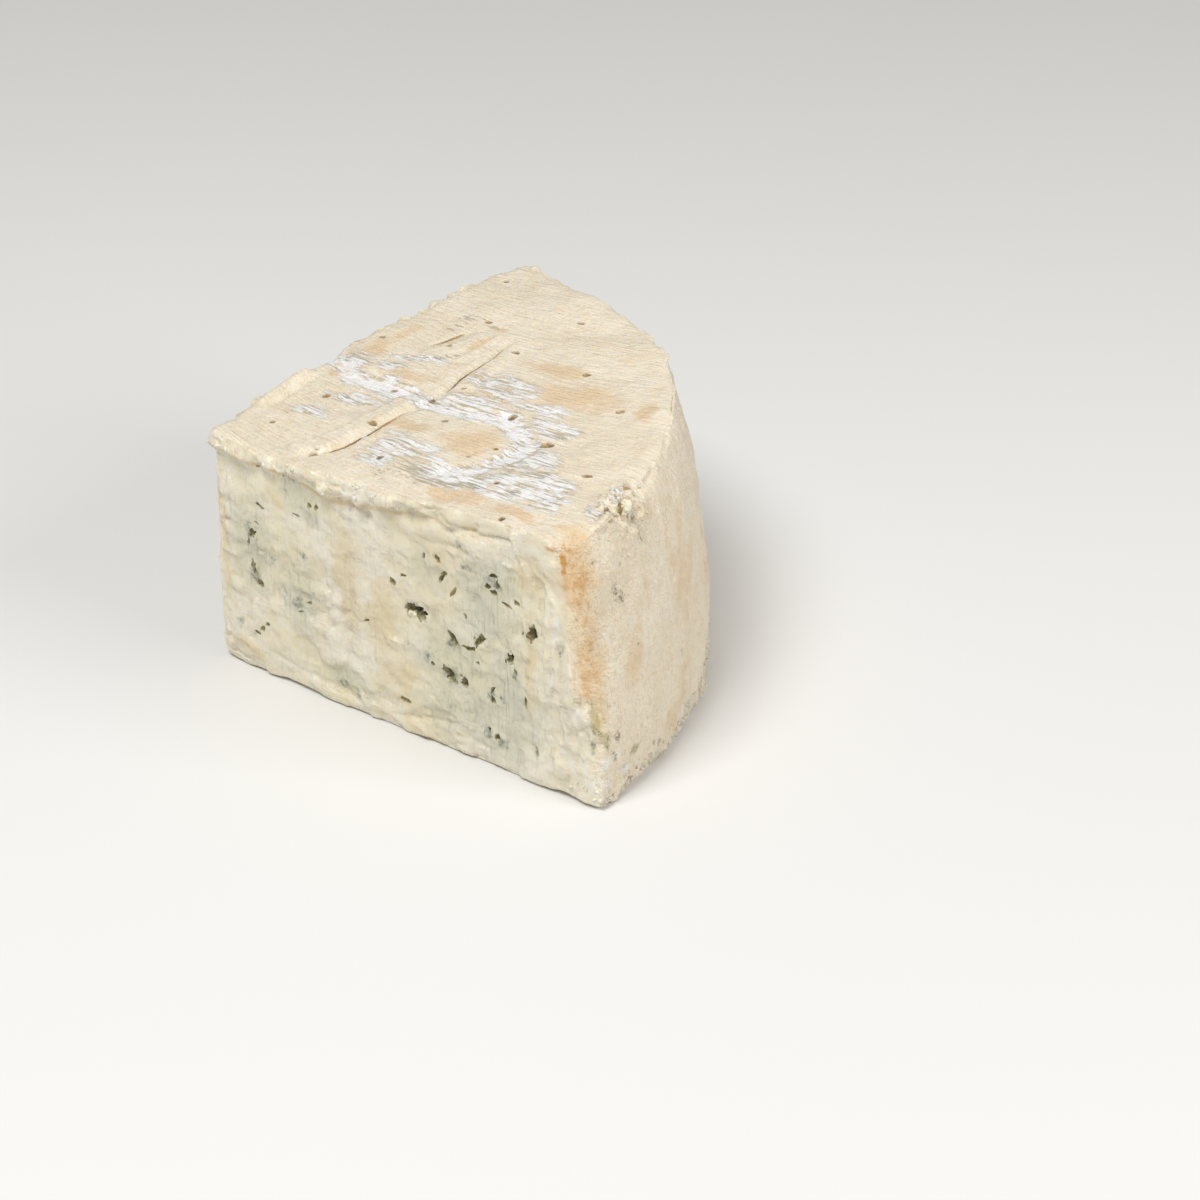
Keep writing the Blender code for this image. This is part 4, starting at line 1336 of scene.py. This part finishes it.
class CheeseFinish(bpy.types.PropertyGroup):
    paste: colour_property("Paste", "Cream of the cut faces", (0.79, 0.71, 0.49))
    paste_pale: colour_property("Pale paste", "Knife smears", (0.835, 0.79, 0.665))
    paste_warm: colour_property("Warm paste", "Faintly peach patches", (0.80, 0.68, 0.49))
    paste_deep: colour_property("Deep paste", "Creases and ripe patches", (0.74, 0.62, 0.38))
    paste_green: colour_property("Green paste", "Paste near the veins", (0.60, 0.59, 0.43))
    mould_grey: colour_property("Grey mould", "Thin mould", (0.42, 0.43, 0.34))
    mould_blue: colour_property("Blue mould", "Thick mould", (0.19, 0.21, 0.155))
    pocket_wall: colour_property("Pocket wall", "Just inside the pockets", (0.64, 0.58, 0.34))
    # Painted shade deep inside the pockets
    pocket_shade: colour_property("Pocket depths", "Deep inside the pockets", (0.08, 0.085, 0.04))
    # Ochre just inside the holes, also used for the crease under the lip, where it is partly painted shade
    hole: colour_property("Needle hole", "Just inside the holes", (0.66, 0.46, 0.21))
    pepper: colour_property("Pepper", "Dark specks of mould", (0.24, 0.19, 0.12))
    # Painted shade deep inside the needle holes and grooves
    hole_shade: colour_property("Needle hole depths", "Deep inside the holes", (0.13, 0.07, 0.025))
    # Grey threads along the cloth marks, and painted shade: dark flecks on the rind and the torn place's
    # crevices
    grime_and_shade: colour_property("Grime", "Dark threads of the cloth marks", (0.43, 0.39, 0.30))
    rind: colour_property("Rind", "Beige rind", (0.79, 0.695, 0.53))
    rind_pale: colour_property("Pale rind", "Pale rind", (0.86, 0.775, 0.62))
    rind_pink: colour_property("Pink rind", "Reddish grain", (0.78, 0.60, 0.42))
    rind_tan: colour_property("Tan rind", "Tan patches", (0.74, 0.55, 0.34))
    rind_peach: colour_property("Peach rind", "Stain down the corner", (0.75, 0.545, 0.315))
    olive: colour_property("Olive stain", "Stain low on the corner", (0.60, 0.52, 0.26))
    rind_orange: colour_property("Orange rind", "Stain at the top of the corner", (0.60, 0.28, 0.04))
    bloom: colour_property("Bloom", "White bloom", (0.89, 0.88, 0.86))
    softness: FloatProperty(
        name="Softness", description="Light through the paste", default=0.35, min=0, max=1
    )
    bump: FloatProperty(name="Bump", description="Height of the bump in millimetres", default=1.7, min=0)
    cloth_slope: FloatProperty(
        name="Cloth slope", description="How steeply the cloth marks run", default=0.96
    )
    cloth_curve: FloatProperty(
        name="Cloth curve", description="How much the cloth marks bend, per metre", default=3.4
    )


class CheeseStage(bpy.types.PropertyGroup):
    floor: colour_property("Floor", "Colour of the floor", (0.82, 0.81, 0.79))
    key_power: FloatProperty(name="Key light", description="Watts", default=14, min=0)
    fill_power: FloatProperty(name="Fill light", description="Watts", default=10.5, min=0)
    sky: FloatProperty(name="Sky", description="Strength of the light from all round", default=0.33, min=0)


class CHEESE_OT_wedge(bpy.types.Operator):
    """Build the wedge with its pockets, needle holes and rack marks"""

    bl_idname = "cheese.wedge"
    bl_label = "Cheese wedge"

    def execute(self, context):
        sizes = context.scene.cheese_sizes
        material = cheese_material(context.scene.cheese_finish)
        wedge, place = wedge_blank(sizes)
        skin = BVHTree.FromPolygons(
            [v.co for v in wedge.data.vertices], [p.vertices[:] for p in wedge.data.polygons]
        )
        cutters = pocket_cutters(skin, place, material, sizes)
        cutters += [maker(skin, place, material, sizes) for maker in (needle_cutter, groove_cutter)]
        for cutter in cutters:
            cut_away(wedge, cutter)
        settle(wedge)
        for cutter in cutters:
            bpy.data.objects.remove(cutter, do_unlink=True)
        wedge.data.materials.clear()
        wedge.data.materials.append(material)
        paint_surface(wedge, place, skin)
        wedge.data.shade_smooth()
        wedge.data.set_sharp_from_angle(angle=SHARP_ANGLE)
        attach(wedge, "root")
        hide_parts("cheese_wedge")
        return {"FINISHED"}


class CHEESE_OT_crumbs(bpy.types.Operator):
    """Scatter crumbs over the crumbly parts of the rind"""

    bl_idname = "cheese.crumbs"
    bl_label = "Crumbs"

    def execute(self, context):
        sizes = context.scene.cheese_sizes
        wedge = bpy.data.objects["cheese"]
        crumbs = mesh_object("crumbs", wedge.data.copy())
        values = {
            "Density": sizes.crumb_density, "Smallest": sizes.crumb_smallest,
            "Largest": sizes.crumb_largest, "Seed": CRUMB_SEED,
        }
        use_tree(crumbs, crumb_tree(wedge.data.materials[0]), values)
        settle(crumbs)
        crumbs.data.shade_smooth()
        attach(crumbs, "root")
        return {"FINISHED"}


class CHEESE_OT_stage(bpy.types.Operator):
    """Set the floor, the lights and the camera"""

    bl_idname = "cheese.stage"
    bl_label = "Stage"

    def execute(self, context):
        stage = context.scene.cheese_stage
        mesh = bpy.data.meshes.new("floor")
        corners = [(x * FLOOR_REACH, y * FLOOR_REACH, 0) for x, y in ((-1, -1), (1, -1), (1, 1), (-1, 1))]
        mesh.from_pydata(corners, [], [(0, 1, 2, 3)])
        floor = mesh_object("floor", mesh)
        mesh.materials.append(floor_material(stage.floor))
        area_light("key", (-0.45, -0.45, 1.3), 0.6, stage.key_power)
        area_light("fill", (1.1, -0.75, 0.7), 0.8, stage.fill_power)
        world = bpy.data.worlds.new("studio")
        world.use_nodes = True
        sky = world.node_tree.nodes["Background"]
        sky.inputs["Strength"].default_value = stage.sky
        sky.inputs["Color"].default_value = SKY_COLOUR
        context.scene.world = world
        context.scene.view_settings.view_transform = "Standard"
        context.scene.camera = photo_camera()
        return {"FINISHED"}


def area_light(name, place, size, power):
    light = bpy.data.lights.new(name, "AREA")
    light.size = size
    light.energy = power
    obj = bpy.data.objects.new(name, light)
    obj.location = place
    obj.rotation_euler = (-Vector(place)).to_track_quat("-Z", "Y").to_euler()
    bpy.context.scene.collection.objects.link(obj)


FLOOR_REACH = 3
SKY_COLOUR = (1, 0.99, 0.97, 1)
SENSOR_WIDTH = 36
# The camera of the photograph: where it looks on the floor, its height and turn in degrees, and its distance
CAMERA_TARGET = (0.0467, 0.0245, 0)
CAMERA_ELEVATION = 28.2
CAMERA_AZIMUTH = -6.2
CAMERA_DISTANCE = 1.389
FOCAL_LENGTH = 4300 / 1200 * SENSOR_WIDTH


def photo_camera():
    camera = bpy.data.cameras.new("camera")
    camera.lens = FOCAL_LENGTH
    camera.sensor_width = SENSOR_WIDTH
    obj = bpy.data.objects.new("camera", camera)
    height, turn = math.radians(CAMERA_ELEVATION), math.radians(CAMERA_AZIMUTH)
    back = Vector((math.sin(turn) * math.cos(height), -math.cos(turn) * math.cos(height), math.sin(height)))
    obj.location = Vector(CAMERA_TARGET) + back * CAMERA_DISTANCE
    obj.rotation_euler = (math.pi / 2 - height, 0, turn)
    bpy.context.scene.collection.objects.link(obj)
    return obj


class CHEESE_PT_panel(bpy.types.Panel):
    bl_label = "Blue cheese"
    bl_idname = "CHEESE_PT_panel"
    bl_space_type = "VIEW_3D"
    bl_region_type = "UI"
    bl_category = "Cheese"

    def draw(self, context):
        layout = self.layout
        for group in (context.scene.cheese_sizes, context.scene.cheese_finish, context.scene.cheese_stage):
            for name in group.bl_rna.properties.keys():
                if name not in ("rna_type", "name"):
                    layout.prop(group, name)
        for operator in OPERATORS:
            layout.operator(operator.bl_idname)


GROUPS = {"cheese_sizes": CheeseSizes, "cheese_finish": CheeseFinish, "cheese_stage": CheeseStage}
OPERATORS = (CHEESE_OT_wedge, CHEESE_OT_crumbs, CHEESE_OT_stage)


def register():
    for cls in (*GROUPS.values(), *OPERATORS, CHEESE_PT_panel):
        bpy.utils.register_class(cls)
    for name, group in GROUPS.items():
        setattr(bpy.types.Scene, name, PointerProperty(type=group))


def unregister():
    for name in GROUPS:
        delattr(bpy.types.Scene, name)
    for cls in (CHEESE_PT_panel, *OPERATORS, *GROUPS.values()):
        bpy.utils.unregister_class(cls)


def main():
    register()
    bpy.ops.cheese.wedge()
    bpy.ops.cheese.crumbs()
    bpy.ops.cheese.stage()


if __name__ == "__main__":
    main()
